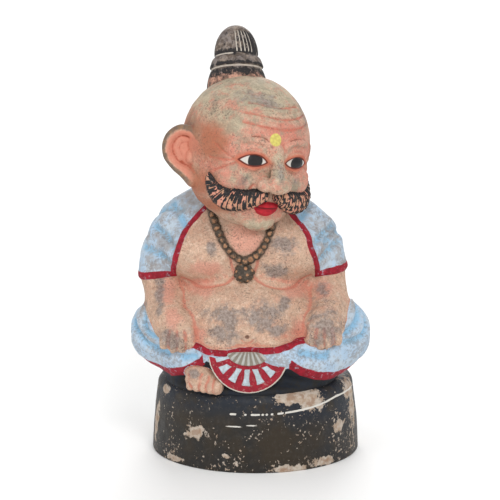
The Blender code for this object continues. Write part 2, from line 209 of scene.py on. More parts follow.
def plinth_finish():
    """Black paint, browner in clouds and bluer with painted shade toward the top under the hems, flaked to
    cream, specked all over.
    """
    coat = Finish("plinth_black_paint")
    colour = coat.clouds(plinth_black, plinth_brown, (26, 5, 0.6, 0), 0.5, 0.12)
    # Painted shade: the black is washed bluer in patches toward the top, under the hems, and toward the
    # right.
    shade_under_hems = coat.past(coat.mark("shade"), 0.45, 0.35)
    colour = coat.wash(colour, plinth_blue, shade_under_hems, coat.past(coat.mottle(14, seed=3), 0.42, 0.1))
    dust = coat.past(coat.mottle(3, 8, 0.75, 5), 0.6, 0.12)
    colour = coat.wash(colour, plinth_dust, dust, 0.35)
    ragged = coat.plus(coat.mark("flake"), coat.plus(-0.5, coat.mottle(6, 9, 0.72, 9)), 2.6)
    flaked = coat.past(ragged, 0.42, 0.03)
    specked = coat.plus(coat.mottle(2.1, 3, 0.6, 17), coat.mottle(19, 2, 0.5, 21), 0.42)
    specks = coat.past(specked, 0.865, 0.012)
    scratched = coat.past(coat.plus(coat.mark("scratch"), coat.mottle(5, 4, 0.7, 31), -0.7), 0.1, 0.05)
    bare = coat.most(coat.most(flaked, specks), scratched)
    ground = coat.clouds(ground_cream, ground_dull, (4, 6, 0.7, 41), 0.5, 0.12)
    ground = coat.wash(ground, bare_clay, coat.past(ragged, 0.95, 0.1), 0.6)
    ground = coat.over(scratched, ground, scratch_cream)
    colour = coat.over(bare, colour, ground)
    height = coat.plus(coat.both(bare, -0.22), coat.mottle(1.6, 6, 0.7, 51), 0.3)
    roughness = coat.plus(0.42, coat.plus(bare, coat.mottle(9, 5, 0.6, 61), 0.6), 0.34)
    return coat.done(colour, roughness, height)


def plinth_rings():
    """Radius and height up the drum's outline, turned round Z: radius (sin, -cos) of the azimuth."""
    side = np.linspace(0, 1, 84)
    low = -plinth_height
    inner_foot = foot_radius - foot_round
    foot_turn = np.linspace(0.12, 0.94, 6) * np.pi / 2
    turn = np.linspace(0.06, 1, 16) * np.pi / 2
    side_radius = foot_radius + (shoulder_radius - foot_radius) * side + side_bulge * np.sin(np.pi * side)
    side_height = low + foot_round + (plinth_height - shoulder_round - foot_round) * side
    radius = [np.linspace(3, inner_foot, 12), inner_foot + foot_round * np.sin(foot_turn), side_radius]
    radius += [shoulder_radius - shoulder_round * (1 - np.cos(turn)), np.linspace(58, 4, 12)]
    height = [np.full(12, low), low + foot_round - foot_round * np.cos(foot_turn), side_height]
    height += [shoulder_round * (np.sin(turn) - 1), np.zeros(12)]
    radius, height = np.concatenate(radius), np.concatenate(height)
    azimuth = np.linspace(-np.pi, np.pi, 480, endpoint=False)
    across = radius[:, None] * np.sin(azimuth)
    along = -radius[:, None] * np.cos(azimuth)
    return np.stack([across, along, np.broadcast_to(height[:, None], across.shape)], axis=-1)


# Places on the side are the arc round it from the front and the level, in mm, and spots add
# their half-widths.
plinth_corners, plinth_faces = closed_skin(plinth_rings())
arc = np.arctan2(plinth_corners[:, 0], -plinth_corners[:, 1]) * mean_radius
level = plinth_corners[:, 2]
outward = plinth_corners * (1, 1, 0) / np.maximum(np.hypot(*plinth_corners.T[:2]), 1)[:, None]
ring_dashes = [(-17.5, -13.3), (-7.6, -6.2), (-3.3, 3.4), (4.5, 6.3), (7.3, 8.7), (10.5, 12)]
ring_dashes += [(15.1, 16.6), (17.3, 19.4)]
ring_level = -13.4 + 5.5 * np.clip(arc / 66, 0, 1) ** 2
ring_depth = np.exp(-(((level - ring_level) / ring_half_width) ** 2))
ring_drawn = np.clip((112 - arc) / 20, 0, 1) * (arc > 20.5)
for begins, ends in ring_dashes:
    ring_drawn = np.maximum(ring_drawn, (arc > begins) & (arc < ends))
on_side = (np.abs(level + 27) < 25.5).astype(float)
sunk = ring_cut * ring_depth * ring_drawn + 0.22 * np.clip(uneven(plinth_corners, 17, 2), 0, 2)
sunk += 0.1 * np.clip(uneven(plinth_corners, 6, 5), 0, 2)
plinth_corners = plinth_corners - outward * (sunk * on_side)[:, None]
flakes = [
    (27, -2, 12, 6), (41, -8, 10, 6), (34, -3, 9, 5), (90, -18, 7, 17), (66, -29, 6, 5),
    (-43, -28, 8, 5.5), (24, -51, 12, 3), (49, -49, 11, 3.5), (-20, -42, 4, 2), (-62, -50, 9, 2.5),
    (-92, -30, 5, 15), (84, -8, 8, 5), (-80, -6, 6, 3), (150, -20, 14, 8), (-150, -38, 12, 7),
    (200, -34, 10, 12), (-195, -8, 18, 5), (118, -45, 15, 4),
]
stray_scratches = [(-15, -21.6, 8, 0.7), (-3, -20.6, 5, 0.6)]
near_shoulder = np.clip((level + 14) / 14, 0, 1) * np.clip(arc / 90, 0, 1)
plinth_marks = {
    "flake": patch(arc, level, flakes) + 0.25 * near_shoulder - 0.02,
    "scratch": ring_depth * ring_drawn + 0.8 * patch(arc, level, stray_scratches),
    # Painted shade: strongest at the top, under the hems, and growing toward the right.
    "shade": np.clip(1 + level / 26, 0, 1) + 0.4 * np.clip(arc / 60, 0, 1),
}
plinth = piece("plinth", plinth_corners, plinth_faces, plinth_marks, plinth_finish())
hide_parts("pandit_figurine")


# The seated body: fired clay pressed in a mould, with the trunk, both arms, the crossed legs
# and the cloth on them all one skin. The masses are laid up first and softened together,
# then hands, foot and creases are pressed on, and the cloth stands a little proud of the skin.
skin_paint = seen(210, 178, 154)
skin_tan = seen(194, 162, 140)
skin_peach = seen(222, 172, 144)
skin_pale = seen(234, 210, 188)
skin_dull = seen(172, 134, 114)
blush_paint = seen(216, 148, 130)
crease_shade_rose = seen(208, 124, 104)
groove_rose = seen(202, 124, 104)
hollow_shade_orange = seen(186, 112, 84)
patina_grey = seen(158, 150, 146)
patina_dark = seen(116, 108, 104)
grain_brown = seen(112, 88, 72)
speck_brown = seen(88, 72, 62)
necklace_shadow = seen(92, 76, 60)
navel_brown = seen(96, 78, 66)
cloth_paint = seen(172, 196, 218)
cloth_pale = seen(186, 200, 212)
cloth_deep = seen(134, 184, 214)
cloth_worn = seen(158, 148, 140)
cloth_grime = seen(116, 98, 86)
border_red = seen(158, 24, 44)
border_dark = seen(128, 18, 34)
cloth_step = 1.25
border_rise = 0.55
border_middle = 1.9
fold_depth = 1.7
crease_depth = 0.8
navel_depth = 1.6
navel_place = (-5.5, 37.0)
body_floor = -6.0
coarse_voxel = 2.8
coarse_softening = 10
body_voxel = 1.0
inside_solid = 0.05
# Masses are ellipsoids (x, y, z, half-widths) and rolls are paths of (x, y, z, radius), in mm.
trunk = [
    (-7, 6, 50, 55, 43, 52), (-8, 2, 88, 50, 41, 50), (-6.5, -13, 43, 49, 46, 33),
    (-32, -15, 88, 32, 26.5, 20.5), (17, -15, 88, 32, 26.5, 20.5), (-7.5, -12, 93, 38, 29, 24),
    (-6, -6, 118, 26, 22, 24),
]
shawl = [(-8, 12, 98, 42, 36, 42)]
hips = [
    (-5, 8, 20, 62, 44, 26), (-53.5, -12, 31, 32, 30, 26.5), (46.5, -18, 31, 32, 31, 26.5),
    (-5, -36, 14, 38, 24, 20), (-3, -12, 0, 61, 54, 8),
]
sleeve_rolls = [
    [(-28, 4, 120, 14), (-46, 2, 100, 22), (-58.5, -1, 79, 20), (-62.5, -4, 68, 16.8)],
    [(13, 4, 116, 13), (33, 2, 95, 21.5), (42, -1, 77, 19.5), (46, -4, 68, 15.8)],
]
arm_rolls = [
    [(-60, 0, 70, 15), (-62, -9, 57, 14.5), (-60, -25, 50, 13.5), (-57, -38, 43, 12)],
    [(47, 0, 70, 14.5), (49.5, -10, 58, 14), (50, -25, 51, 13), (49, -38, 45, 12)],
]
shin_rolls = [
    [(-57, -20, 24, 18), (-47, -34, 21, 16), (-36, -46, 24, 12), (-22, -53, 27, 9)],
    [(51, -27, 22, 18), (39, -42, 19, 16), (25, -51, 22, 12), (10, -55, 26, 9)],
]
wrists = [(-52.5, -43.5, 39), (46, -44.5, 41.5)]
palms = [(-53, -43, 40.5, 13, 10.3, 13), (46.5, -44, 43, 13, 10.3, 13)]
finger_pitch = 5.8
toe_gaps = [(-27.8, -63.5), (-32, -61.5), (-36.3, -58.5), (-40.6, -55)]


def smooth_path(stations, steps=6):
    """Points between stations on the Catmull-Rom curve, whose each span is a cubic of its four nearest."""
    p = np.array(stations, float)
    p = np.vstack([2 * p[0] - p[1], p, 2 * p[-1] - p[-2]])
    t = (np.arange(steps) / steps)[:, None, None]
    a, b, c, d = p[:-3], p[1:-2], p[2:-1], p[3:]
    curve = 0.5 * (2 * b + (c - a) * t + (2 * a - 5 * b + 4 * c - d) * t**2 + (3 * b - a - 3 * c + d) * t**3)
    return np.vstack([curve.transpose(1, 0, 2).reshape(-1, p.shape[1]), p[-2]])


def roll(stations, steps=6):
    """A roll of clay through (x, y, z, radius) as balls close together along the smooth path."""
    path = smooth_path(stations, steps)
    return np.column_stack([path[:, :3], np.repeat(path[:, 3:], 3, axis=1)])


def unit_ball(levels, columns):
    """A ball of radius 1 in rings from pole to pole: (cos b cos a, cos b sin a, sin b)."""
    rise = np.linspace(-1, 1, levels)[1:-1] * np.pi / 2
    turn = np.arange(columns) * 2 * np.pi / columns
    b, a = np.meshgrid(rise, turn, indexing="ij")
    return closed_skin(np.stack([np.cos(b) * np.cos(a), np.cos(b) * np.sin(a), np.sin(b)], axis=-1))


def copied(faces, size, count):
    """The faces of one shape of `size` corners, once for each of its copies."""
    return [[corner + start for corner in face] for start in range(0, size * count, size) for face in faces]


def balls(rows):
    """Ellipsoids (x, y, z, half-widths): each corner is the middle + half-width * a unit ball's corner."""
    rows = np.asarray(rows, float)
    unit, faces = unit_ball(15, 22)
    corners = rows[:, None, :3] + rows[:, None, 3:] * unit
    return corners.reshape(-1, 3), copied(faces, len(unit), len(rows))


def fused(parts, voxel, softening, subdivide=False):
    """One skin over overlapping shapes: corners on a lattice of `voxel` mm, eased `softening` times."""
    corners, faces, start = [], [], 0
    for some_corners, some_faces in parts:
        corners.append(some_corners)
        faces += [[i + start for i in face] for face in some_faces]
        start += len(some_corners)
    mesh = bpy.data.meshes.new("clay")
    mesh.from_pydata((np.concatenate(corners) / 1000).tolist(), [], faces)
    lump = bpy.data.objects.new("clay", mesh)
    bpy.context.scene.collection.objects.link(lump)
    fuse = lump.modifiers.new("fuse", "REMESH")
    fuse.mode = "VOXEL"
    fuse.voxel_size = voxel / 1000
    soften = lump.modifiers.new("soften", "SMOOTH")
    soften.iterations = softening
    if subdivide:
        finer = lump.modifiers.new("finer", "SUBSURF")
        finer.levels = finer.render_levels = 1
    skin = bpy.data.meshes.new_from_object(lump.evaluated_get(bpy.context.evaluated_depsgraph_get()))
    points = np.empty(len(skin.vertices) * 3)
    skin.vertices.foreach_get("co", points)
    quads = np.empty(len(skin.loops), int)
    skin.loops.foreach_get("vertex_index", quads)
    bpy.data.objects.remove(lump)
    bpy.data.meshes.remove(skin)
    bpy.data.meshes.remove(mesh)
    return points.reshape(-1, 3) * 1000, quads.reshape(-1, 4)


def mean_round(values, quads, times):
    """Each pass sets every corner to the mean of those that share its faces' edges."""
    ends = np.vstack([quads[:, [0, 1]], quads[:, [1, 2]], quads[:, [2, 3]], quads[:, [3, 0]]])
    count = np.bincount(ends[:, 0], minlength=len(values)).astype(float)
    values = values.reshape(len(values), -1)
    for _ in range(times):
        sums = [np.bincount(ends[:, 0], column[ends[:, 1]], len(values)) for column in values.T]
        values = np.column_stack(sums) / count[:, None]
    return values.squeeze()


def outward_of(points, quads):
    """Each corner's normal: the sum of its faces' crossed diagonals, at length 1."""
    crossed = np.cross(points[quads[:, 2]] - points[quads[:, 0]], points[quads[:, 3]] - points[quads[:, 1]])
    total = np.column_stack([np.bincount(quads.ravel(), np.repeat(c, 4), len(points)) for c in crossed.T])
    return total / np.linalg.norm(total, axis=1, keepdims=True)


def hollowness(points, quads, reach):
    """How far a corner lies under the mean surface within `reach` passes, in mm: above 0 in creases."""
    return ((mean_round(points, quads, reach) - points) * outward_of(points, quads)).sum(axis=1)


def gap(points, rows):
    """Distance in mm to the nearest of some ellipsoids, along the line to its middle."""
    nearest = np.full(len(points), 1e3)
    for row in np.asarray(rows, float):
        away = points - row[:3]
        stretch = np.maximum(np.linalg.norm(away / row[3:], axis=1), 1e-6)
        nearest = np.minimum(nearest, np.linalg.norm(away, axis=1) * (1 - 1 / stretch))
    return nearest


def off_path(points, path):
    """Distance in mm from each point to a path of straight spans."""
    nearest = np.full(len(points), 1e3)
    for start, end in zip(path[:-1], path[1:]):
        span = end - start
        share = np.clip((points - start) @ span / max(span @ span, 1e-9), 0, 1)
        nearest = np.minimum(nearest, np.linalg.norm(points - start - share[:, None] * span, axis=1))
    return nearest


def laid_on(tree, stations, steps=5):
    """A smooth path through stations, each point moved to the nearest place on the skin."""
    return np.array([tree.find_nearest(point)[0] for point in smooth_path(stations, steps).tolist()])


def off_paths(points, tree, paths):
    """Distance in mm from each point to the nearest of some paths laid on the skin."""
    return np.min([off_path(points, laid_on(tree, path)) for path in paths], axis=0)


def hand(wrist):
    """Four fingers side by side, hanging from the back of the hand over the knee."""
    x, y, z = wrist
    rows = []
    for i in range(4):
        across = (i - 1.5) * finger_pitch
        drop = 1.3 * abs(i - 1.4)
        knuckle = (x + 0.92 * across, y - 5.6 + 0.3 * drop, z + 0.5, 3.5)
        middle = (x + across, y - 9.4 + 0.4 * drop, z - 5, 3.4)
        tip = (x + 1.02 * across, y - 9.4 + 0.5 * drop, z - 10.5 + drop, 3.1)
        rows.append(roll([knuckle, middle, tip], 6))
    rows.append([(x, y - 6.0, z - 1.5, 11.6, 4.5, 9.6)])
    return np.vstack(rows)


def finger_grooves(wrist):
    """The lines pressed between the fingers, carried up the back of the hand."""
    x, y, z = wrist
    lines = []
    for i in range(3):
        across = (i - 1) * finger_pitch
        start = (x + 0.9 * across, y - 10, z + 1)
        lines.append([start, (x + across, y - 11.5, z - 4), (x + across, y - 11.5, z - 10)])
    return lines


def foot_rows():
    """The foot on its sole under the hem: the instep and five toes that shrink outward."""
    instep = roll([(-38, -42, 16, 9.5), (-37.5, -48, 11.5, 9.5), (-36.5, -51, 8.5, 9)])
    rows = [instep, [(-34.5, -52, 7, 12.5, 10, 7)]]
    for i in range(5):
        t = i / 4
        thick = 3.7 - 0.9 * t
        x, y = -25.5 - 17.5 * t, -62.5 + 8.0 * t**1.4
        rows.append(roll([(x, y + 7, 6, thick), (x - 0.3, y + 1.5, 4.6, thick), (x - 0.5, y, 2.8, thick)], 5))
    return np.vstack(rows)


sleeves = np.vstack([roll(path) for path in sleeve_rolls])
arms = np.vstack([*[roll(path) for path in arm_rolls], palms])
legs = np.vstack([hips, *[roll(path) for path in shin_rolls]])
body_masses = [balls(rows) for rows in (trunk, shawl, sleeves, arms, legs)]
masses, mass_quads = fused(body_masses, coarse_voxel, coarse_softening, True)
hands = np.vstack([hand(wrist) for wrist in wrists])
foot = foot_rows()
points, quads = fused([(masses, mass_quads.tolist()), balls(hands), balls(foot)], body_voxel, 2)

tree = BVHTree.FromPolygons(points.tolist(), quads.tolist())
x, y, z = points.T
arms_gap = gap(points, np.vstack([arms, hands]))
limbs_gap = np.minimum(arms_gap, gap(points, foot))
legs_gap = gap(points, legs)
trunk_gap = gap(points, np.vstack([trunk, shawl]))
sleeve_gap = gap(points, sleeves)

# How far inside the cloth a point of the skin lies, in mm: on the sleeves, the lap or the back.
left_edge = [(60, -51), (73, -53.2), (79, -53), (88, -51), (96, -48.4), (103, -45), (109, -40)]
left_edge = smooth_path(left_edge + [(117, -33), (135, -14)], 8)
right_edge = [(60, 39), (72, 40), (77, 39.6), (85, 38), (93, 35), (100, 33), (105, 29.4)]
right_edge = smooth_path(right_edge + [(111, 24), (130, 8)], 8)
waist_line = [(-60, 36), (-38, 32), (-31, 29.4), (-20, 29), (-9, 30), (2, 30.2), (13, 31)]
waist_line = smooth_path(waist_line + [(24, 33), (29, 34.4), (50, 36)], 8)
beyond_edges = 1.2 * np.maximum(np.interp(z, *left_edge.T) - x, x - np.interp(z, *right_edge.T))
right_hem = 72 + 0.22 * (x + 53) + 0.02 * (y + 25)
left_hem = 71 + 0.05 * (x - 40) + 0.05 * (y + 22)
sleeve_hem = np.where(x < 0, right_hem, left_hem)
sleeve = np.minimum(beyond_edges, 0.75 * (z - sleeve_hem))
below_waist = np.interp(x, *waist_line.T) - z
between_arms = (x > -57) & (x < 48) & (y < -5)
beside_limb = np.clip(limbs_gap - np.minimum(legs_gap, trunk_gap), -9, 9)
lap = np.where(between_arms, np.minimum(below_waist, beside_limb), beside_limb)
on_back = np.where((beside_limb > 0) & (y > 0), y - 2, -9)
cloth = np.maximum(np.maximum(sleeve, lap), on_back)

# The lap's lower hem by the angle round from the front, and the distance to any border's middle.
hem_turn = [-180, -140, -110, -90, -74, -64, -55, -44, -36, -30, -26, -12]
hem_turn += [12, 24, 30, 39, 51, 67, 80, 110, 140, 180]
hem_height = [10, 10, 11, 11, 11, 10, 9, 12, 16, 20, 24, 15]
hem_height += [15, 20, 15, 11, 8, 9, 14, 12, 10, 10]
turned = np.degrees(np.arctan2(x + 4, -y))
under_hem = np.interp(turned, hem_turn, hem_height) - border_middle - z
under_hem = np.where(beside_limb > 0, under_hem, -9)
sleeve_end = np.where(sleeve_gap < trunk_gap, 0.75 * (z - sleeve_hem), 9)
at_waist = between_arms & (z < 50)
edge = np.where(at_waist, below_waist, np.where(y > 0, sleeve_end, sleeve))
hem_shown = np.where(at_waist, beside_limb > -0.6, cloth > -3)
hem = np.where(hem_shown, 0.85 * np.abs(edge - border_middle), 9.0)
beside_fan = (turned > -27) & (turned < 23)
lower_border = np.where((beside_limb > 0) & ~beside_fan, 0.55 * np.abs(under_hem + border_middle), 9.0)
hem = np.minimum(hem, lower_border)

fold_paths = [
    [(-56, -6, 119), (-51, -17, 112), (-46.5, -26, 104)],
    [(-67, -8, 103), (-59, -20, 98), (-52, -31, 92)],
    [(-73, -6, 88), (-62, -22, 86), (-52, -31, 83)],
    [(-70, 10, 100), (-60, 0, 109), (-48, -12, 114)],
    [(38, -5, 119), (34, -14, 114), (29.8, -24, 109)],
    [(52, -4, 103), (44, -18, 99), (36, -31, 93)],
    [(55, -8, 93), (47, -21, 88.5), (39.5, -30, 84.5)],
    [(57, 6, 97), (50, -6, 97), (42, -20, 92)],
    [(76, -18, 47), (72, -34, 34), (61, -53, 30), (46, -56, 24), (30, -60, 27)],
    [(69, -15, 50), (67, -37, 42), (60, -54, 36)],
    [(-84, -14, 42), (-78, -29, 33), (-69, -37, 26), (-56, -55, 22), (-40, -57, 24)],
    [(-72, -22, 52), (-74, -34, 37), (-67, -52, 30)],
    [(66, 8, 44), (76, -2, 34), (74, -14, 20)],
    [(-70, 14, 44), (-82, 0, 34), (-82, -12, 20)],
    [(-36, 40, 108), (-26, 50, 80), (-22, 50, 44)],
    [(22, 40, 104), (16, 50, 78), (12, 50, 42)],
    [(-6, 48, 112), (-4, 52, 80), (-4, 52, 50)],
    [(-62, 22, 92), (-48, 42, 64), (-40, 44, 34)],
    [(50, 22, 90), (38, 40, 62), (32, 44, 34)],
    [(-58, 26, 30), (-30, 48, 22), (-4, 51, 20), (24, 48, 22), (50, 26, 30)],
]
fold = np.where(cloth > 1.0, off_paths(points, tree, fold_paths), 30.0)

crease_paths = [
    [(-50, -20, 70), (-39, -29, 66), (-30, -35, 66.5), (-21, -38, 69.5), (-15, -38, 74)],
    [(-1, -38, 74), (9, -39, 68), (19, -36, 66), (29, -27, 66.5), (38, -22, 72)],
    [(-17, -39, 90), (-16, -38, 82), (-14, -38, 76)],
    [(2, -38, 90), (1, -38, 82), (-1, -38, 76)],
]
for wrist in wrists:
    crease_paths += finger_grooves(wrist)
crease_paths += [[(tx + 0.6, ty + 3, 9), (tx, ty, 5), (tx, ty - 1, 1)] for tx, ty in toe_gaps]
crease = off_paths(points, tree, crease_paths)
beside_belly = 0.45 * np.abs(arms_gap - trunk_gap) + 0.5 * np.maximum(arms_gap, 0)
beside_belly = np.where((z < 68) & (y < -12), beside_belly, 30.0)
crease = np.where(cloth < 0, np.minimum(crease, beside_belly), 30.0)
# The necklace's string over the chest, in (x, z); the skin paint lays a painted shadow along it.
string = [(-31, 121), (-28, 112), (-25.5, 106), (-22.5, 100), (-19, 94), (-14, 88.6), (-8, 85.6)]
string += [(-2, 87.4), (3, 91.6), (6.6, 97), (9.4, 103), (12, 110)]
string_gap = off_path(points[:, [0, 2]], smooth_path(string, 4)) + np.where(y < -10, 0, 50)
from_navel = np.hypot(x - navel_place[0], z - navel_place[1])
navel = from_navel + np.where(y < -30, 0, 50)
navel_lip = np.abs(from_navel - 4.2) + np.where((y < -30) & (z < 35.5), 0, 50)


def eased(value):
    """A soft step from 0 to 1: 3v^2 - 2v^3."""
    value = np.clip(value, 0, 1)
    return value * value * (3 - 2 * value)


relief = cloth_step * eased((edge + 1.2) / 2.4) * np.exp(-np.clip(edge, 0, 60) / 26) * (edge < 60)
relief += border_rise * np.exp(-((hem / 1.9) ** 2)) + 0.35 * eased((cloth + 0.6) / 2.4)
fold_fade = np.where(z > 58, eased((edge - 2) / 7), 1.3)
fold_sides = 0.9 * np.exp(-(((fold - 5.4) / 2.8) ** 2))
relief -= fold_fade * (fold_depth * np.exp(-((fold / 2.0) ** 2)) - fold_sides)
relief -= crease_depth * np.exp(-((crease / 1.1) ** 2))
relief -= navel_depth * np.exp(-((navel / 1.3) ** 2)) + 0.4 * np.exp(-((navel_lip / 0.8) ** 2))
relief += 0.05 * uneven(points, 14, 11) + 0.04 * uneven(points, 3.5, 12)
points = points + outward_of(points, quads) * relief[:, None]
for axis in range(2):
    near_side, far_side = solid_box[0][axis] * 1000, solid_box[1][axis] * 1000
    points[:, axis] = np.clip(points[:, axis], near_side + inside_solid, far_side - inside_solid)
points[:, 2] = np.maximum(points[:, 2], body_floor)

# How hollow the skin lies, near and over a wide reach: the skin paint lays its painted shade there.
hollow = hollowness(points, quads, 3)
hollow = np.where(z > 60, hollow * np.clip((-cloth - 1) / 4, 0, 1), hollow)
deep_hollow = mean_round(hollowness(points, quads, 18), quads, 3)
patina_spots = [
    (-18, 51, 17, 9), (-20, 40, 13, 10), (6, 51, 13, 11), (18.5, 57, 6, 5), (14, 41, 8, 5),
    (-65, 60, 4, 13), (-54, 35, 13, 7), (46, 44, 13, 15), (19, 96, 9, 8), (13, 78, 11, 6),
    (-60, 92, 9, 7), (-44, 122, 5, 9), (48, 88, 8, 7), (-78, 44, 5, 14), (-69, 82, 6, 5),
    (-40, 12, 5, 4), (45, 64, 6, 5), (-30, 94, 5, 5),
]
blush_spots = [
    (-33, 80, 11, 5), (-7, 99, 12, 9), (-60, 62, 6, 7), (-56, 48, 5, 6), (45, 64, 6, 5),
    (-36, 66, 8, 5), (28, 64, 9, 5), (30, 40, 5, 5), (-38, 36, 4, 5),
]
clean_lap = (z < 48) & (cloth > 0) & (y < 10)
body_marks = {
    "cloth": cloth,
    "hem": hem,
    "fold": np.minimum(fold, 30) + 1.7 * eased((y - 5) / 15),
    "crease": np.minimum(crease, 30),
    "hollow": hollow,
    "deep": deep_hollow,
    "navel": np.minimum(navel, 30),
    "patina": 1.25 * patch(x, z, patina_spots) * (y < 0) - 2.0 * clean_lap,
    "blush": patch(x, z, blush_spots) * (y < 0),
    "under": under_hem,
    "string": string_gap,
}


def skin_layers(coat, seed):
    """Skin paint: cream flesh tanned in clouds, rose on the blushes, and painted shade: darker rose in the
    creases and orange-brown in the deep hollows.
    """
    colour = coat.clouds(skin_paint, skin_tan, (20, 5, 0.6, seed), 0.5, 0.13)
    peach = coat.past(coat.mottle(6, 6, 0.7, seed + 3), 0.54, 0.1)
    colour = coat.wash(colour, skin_peach, peach, 0.45)
    pale = coat.past(coat.mottle(3.4, 8, 0.78, seed + 15), 0.56, 0.07)
    colour = coat.wash(colour, skin_pale, pale, 0.55)
    dull = coat.past(coat.mottle(2.8, 8, 0.78, seed + 19), 0.56, 0.06)
    colour = coat.wash(colour, skin_dull, dull, 0.55)
    rose = coat.plus(coat.mark("blush"), coat.mottle(8, 6, 0.65, seed + 7), 1.5)
    colour = coat.wash(colour, blush_paint, coat.past(rose, 1.1, 0.35), 0.65)
    # Painted shade: darker rose wherever the surface lies hollow, orange-brown in the deepest hollows.
    pressed_and_shaded = coat.plus(coat.both(coat.mark("hollow"), 2.6), coat.mottle(5, 5, 0.6, seed + 9), 0.8)
    colour = coat.wash(colour, crease_shade_rose, coat.past(pressed_and_shaded, 0.66, 0.24), 0.62)
    return coat.wash(colour, hollow_shade_orange, coat.past(coat.mark("deep"), 1.1, 0.8), 0.32)


def rubbed(coat, colour, seed, amount=1.0):
    """Grey where the paint is rubbed thin: a soft wash with ragged cores, and fine dark specks all over."""
    ragged = coat.plus(coat.mark("patina"), coat.plus(-0.5, coat.mottle(9, 9, 0.76, seed)), 3.6)
    grey = coat.clouds(patina_grey, patina_dark, (2.2, 6, 0.7, seed + 5), 0.5, 0.08)
    colour = coat.wash(colour, grey, coat.past(ragged, 0.62, 0.26), 0.5 * amount)
    worn = coat.past(ragged, 0.9, 0.1)
    colour = coat.wash(colour, grey, worn, 0.6 * amount)
    grain = coat.past(coat.mottle(1.1, 3, 0.6, seed + 17), 0.5, 0.16)
    colour = coat.wash(colour, grain_brown, grain, 0.28)
    specked = coat.plus(coat.mottle(1.2, 3, 0.6, seed + 11), coat.mottle(15, 2, 0.5, seed + 13), 0.35)
    return coat.wash(colour, speck_brown, coat.past(specked, 0.81, 0.03), 0.6), worn


def body_finish():
    """Flesh paint where the skin shows, light blue cloth with a crimson border, black under the hems."""
    coat = Finish("painted_body")
    flesh = skin_layers(coat, 2.0)
    pressed_and_shaded = coat.short_of(coat.plus(coat.mark("crease"), coat.mottle(4, 4, 0.6, 69), -1.5), 0.5, 1.0)
    flesh = coat.wash(flesh, groove_rose, pressed_and_shaded, 0.4)
    # Painted shadow: dark brown on the skin along the necklace string.
    stain_and_shadow = coat.short_of(coat.plus(coat.mark("string"), coat.mottle(3, 5, 0.65, 67), 2.6), 4.5, 0.8)
    flesh = coat.wash(flesh, necklace_shadow, stain_and_shadow, 0.7)
    flesh, worn = rubbed(coat, flesh, 23.0)
    flesh = coat.wash(flesh, navel_brown, coat.short_of(coat.mark("navel"), 1.5, 0.3), 0.8)
    blue = coat.clouds(cloth_paint, cloth_pale, (13, 6, 0.65, 71), 0.5, 0.14)
    deep = coat.short_of(coat.plus(coat.mark("fold"), coat.mottle(4, 4, 0.6, 73), -3.0), 0.7, 1.6)
    blue = coat.wash(blue, cloth_deep, deep, 0.75)
    dusty = coat.plus(coat.mottle(9, 8, 0.72, 75), coat.mark("hollow"), -0.3)
    dusty = coat.plus(dusty, coat.mark("patina"), 0.06)
    blue = coat.wash(blue, cloth_worn, coat.past(dusty, 0.545, 0.08), 0.65)
    grime = coat.plus(coat.mottle(2.0, 5, 0.7, 77), coat.mottle(17, 2, 0.5, 79), 0.5)
    blue = coat.wash(blue, cloth_grime, coat.past(grime, 0.8, 0.06), 0.45)
    drawn = coat.plus(coat.mark("cloth"), coat.mottle(3.5, 3, 0.5, 81), 0.6)
    colour = coat.over(coat.past(drawn, 0.3, 0.12), flesh, blue)
    black = coat.clouds(plinth_blue, plinth_black, (6, 6, 0.7, 95), 0.52, 0.1)
    colour = coat.over(coat.past(coat.mark("under"), 0.2, 0.2), colour, black)
    wavering = coat.plus(coat.mark("hem"), coat.mottle(6, 3, 0.5, 83), 0.9)
    red = coat.clouds(border_red, border_dark, (4, 6, 0.7, 85), 0.5, 0.1)
    red_left = coat.plus(1.0, coat.past(coat.mottle(3.2, 7, 0.72, 87), 0.61, 0.05), -0.5)
    colour = coat.wash(colour, red, coat.short_of(wavering, 2.1, 0.15), red_left)
    grit = coat.both(coat.mottle(1.1, 5, 0.7, 89), 0.16)
    height = coat.plus(grit, coat.both(coat.mottle(4, 6, 0.65, 91), 0.35))
    height = coat.plus(height, coat.both(worn, -0.08))
    return coat.done(colour, coat.plus(0.6, coat.mottle(6, 5, 0.6, 93), 0.28), height)


piece("seated_body", points, quads.tolist(), body_marks, body_finish())


# The head: moulded with the body and turned to his left, bald but for the knot on the crown.
# Its face is a stock doll's face on plain proportions, with painted eyes, a yellow forehead
# mark and large cupped ears. Its places are in mm from its own middle, with the face to -Y.
head_turn = math.radians(27.0)
head_lean = math.radians(7.0)
head_nod = math.radians(3.0)
head_middle = (-6.4, -12.0, 157.0)
ear_spread = math.radians(50.0)
far_ear_spread = math.radians(26.0)
lip_red = seen(184, 30, 44)
lip_dark = seen(160, 26, 40)
parting_red = seen(96, 18, 26)
mark_yellow = seen(214, 204, 108)
mark_ochre = seen(196, 180, 98)
eye_white = seen(206, 200, 192)
eye_black = seen(30, 28, 30)
eye_ring = seen(188, 96, 70)
lid_brown = seen(104, 44, 34)
brow_brown = seen(128, 72, 54)
face_chalk = seen(188, 178, 152)
face_rose = seen(208, 122, 104)
face_olive = seen(150, 144, 124)
line_rose = seen(204, 118, 98)
jaw_shade_orange = seen(170, 100, 70)
ear_rose = seen(208, 130, 108)
ear_rust = seen(158, 76, 52)
rim_brown = seen(128, 100, 72)
rim_grey = seen(92, 82, 72)
head_place = Matrix.Translation(head_middle) @ Matrix.Rotation(head_turn, 4, "Z")
head_place = head_place @ Matrix.Rotation(head_lean, 4, "Y") @ Matrix.Rotation(head_nod, 4, "X")
head_masses = [(-1, 0, 4.5, 43.3, 47, 46), (0, -6, -19, 40, 38, 29), (0, -14, -35, 28, 26, 15)]
head_masses += [(-21, -29, -15, 14, 11, 12), (21, -29, -15, 14, 11, 12)]
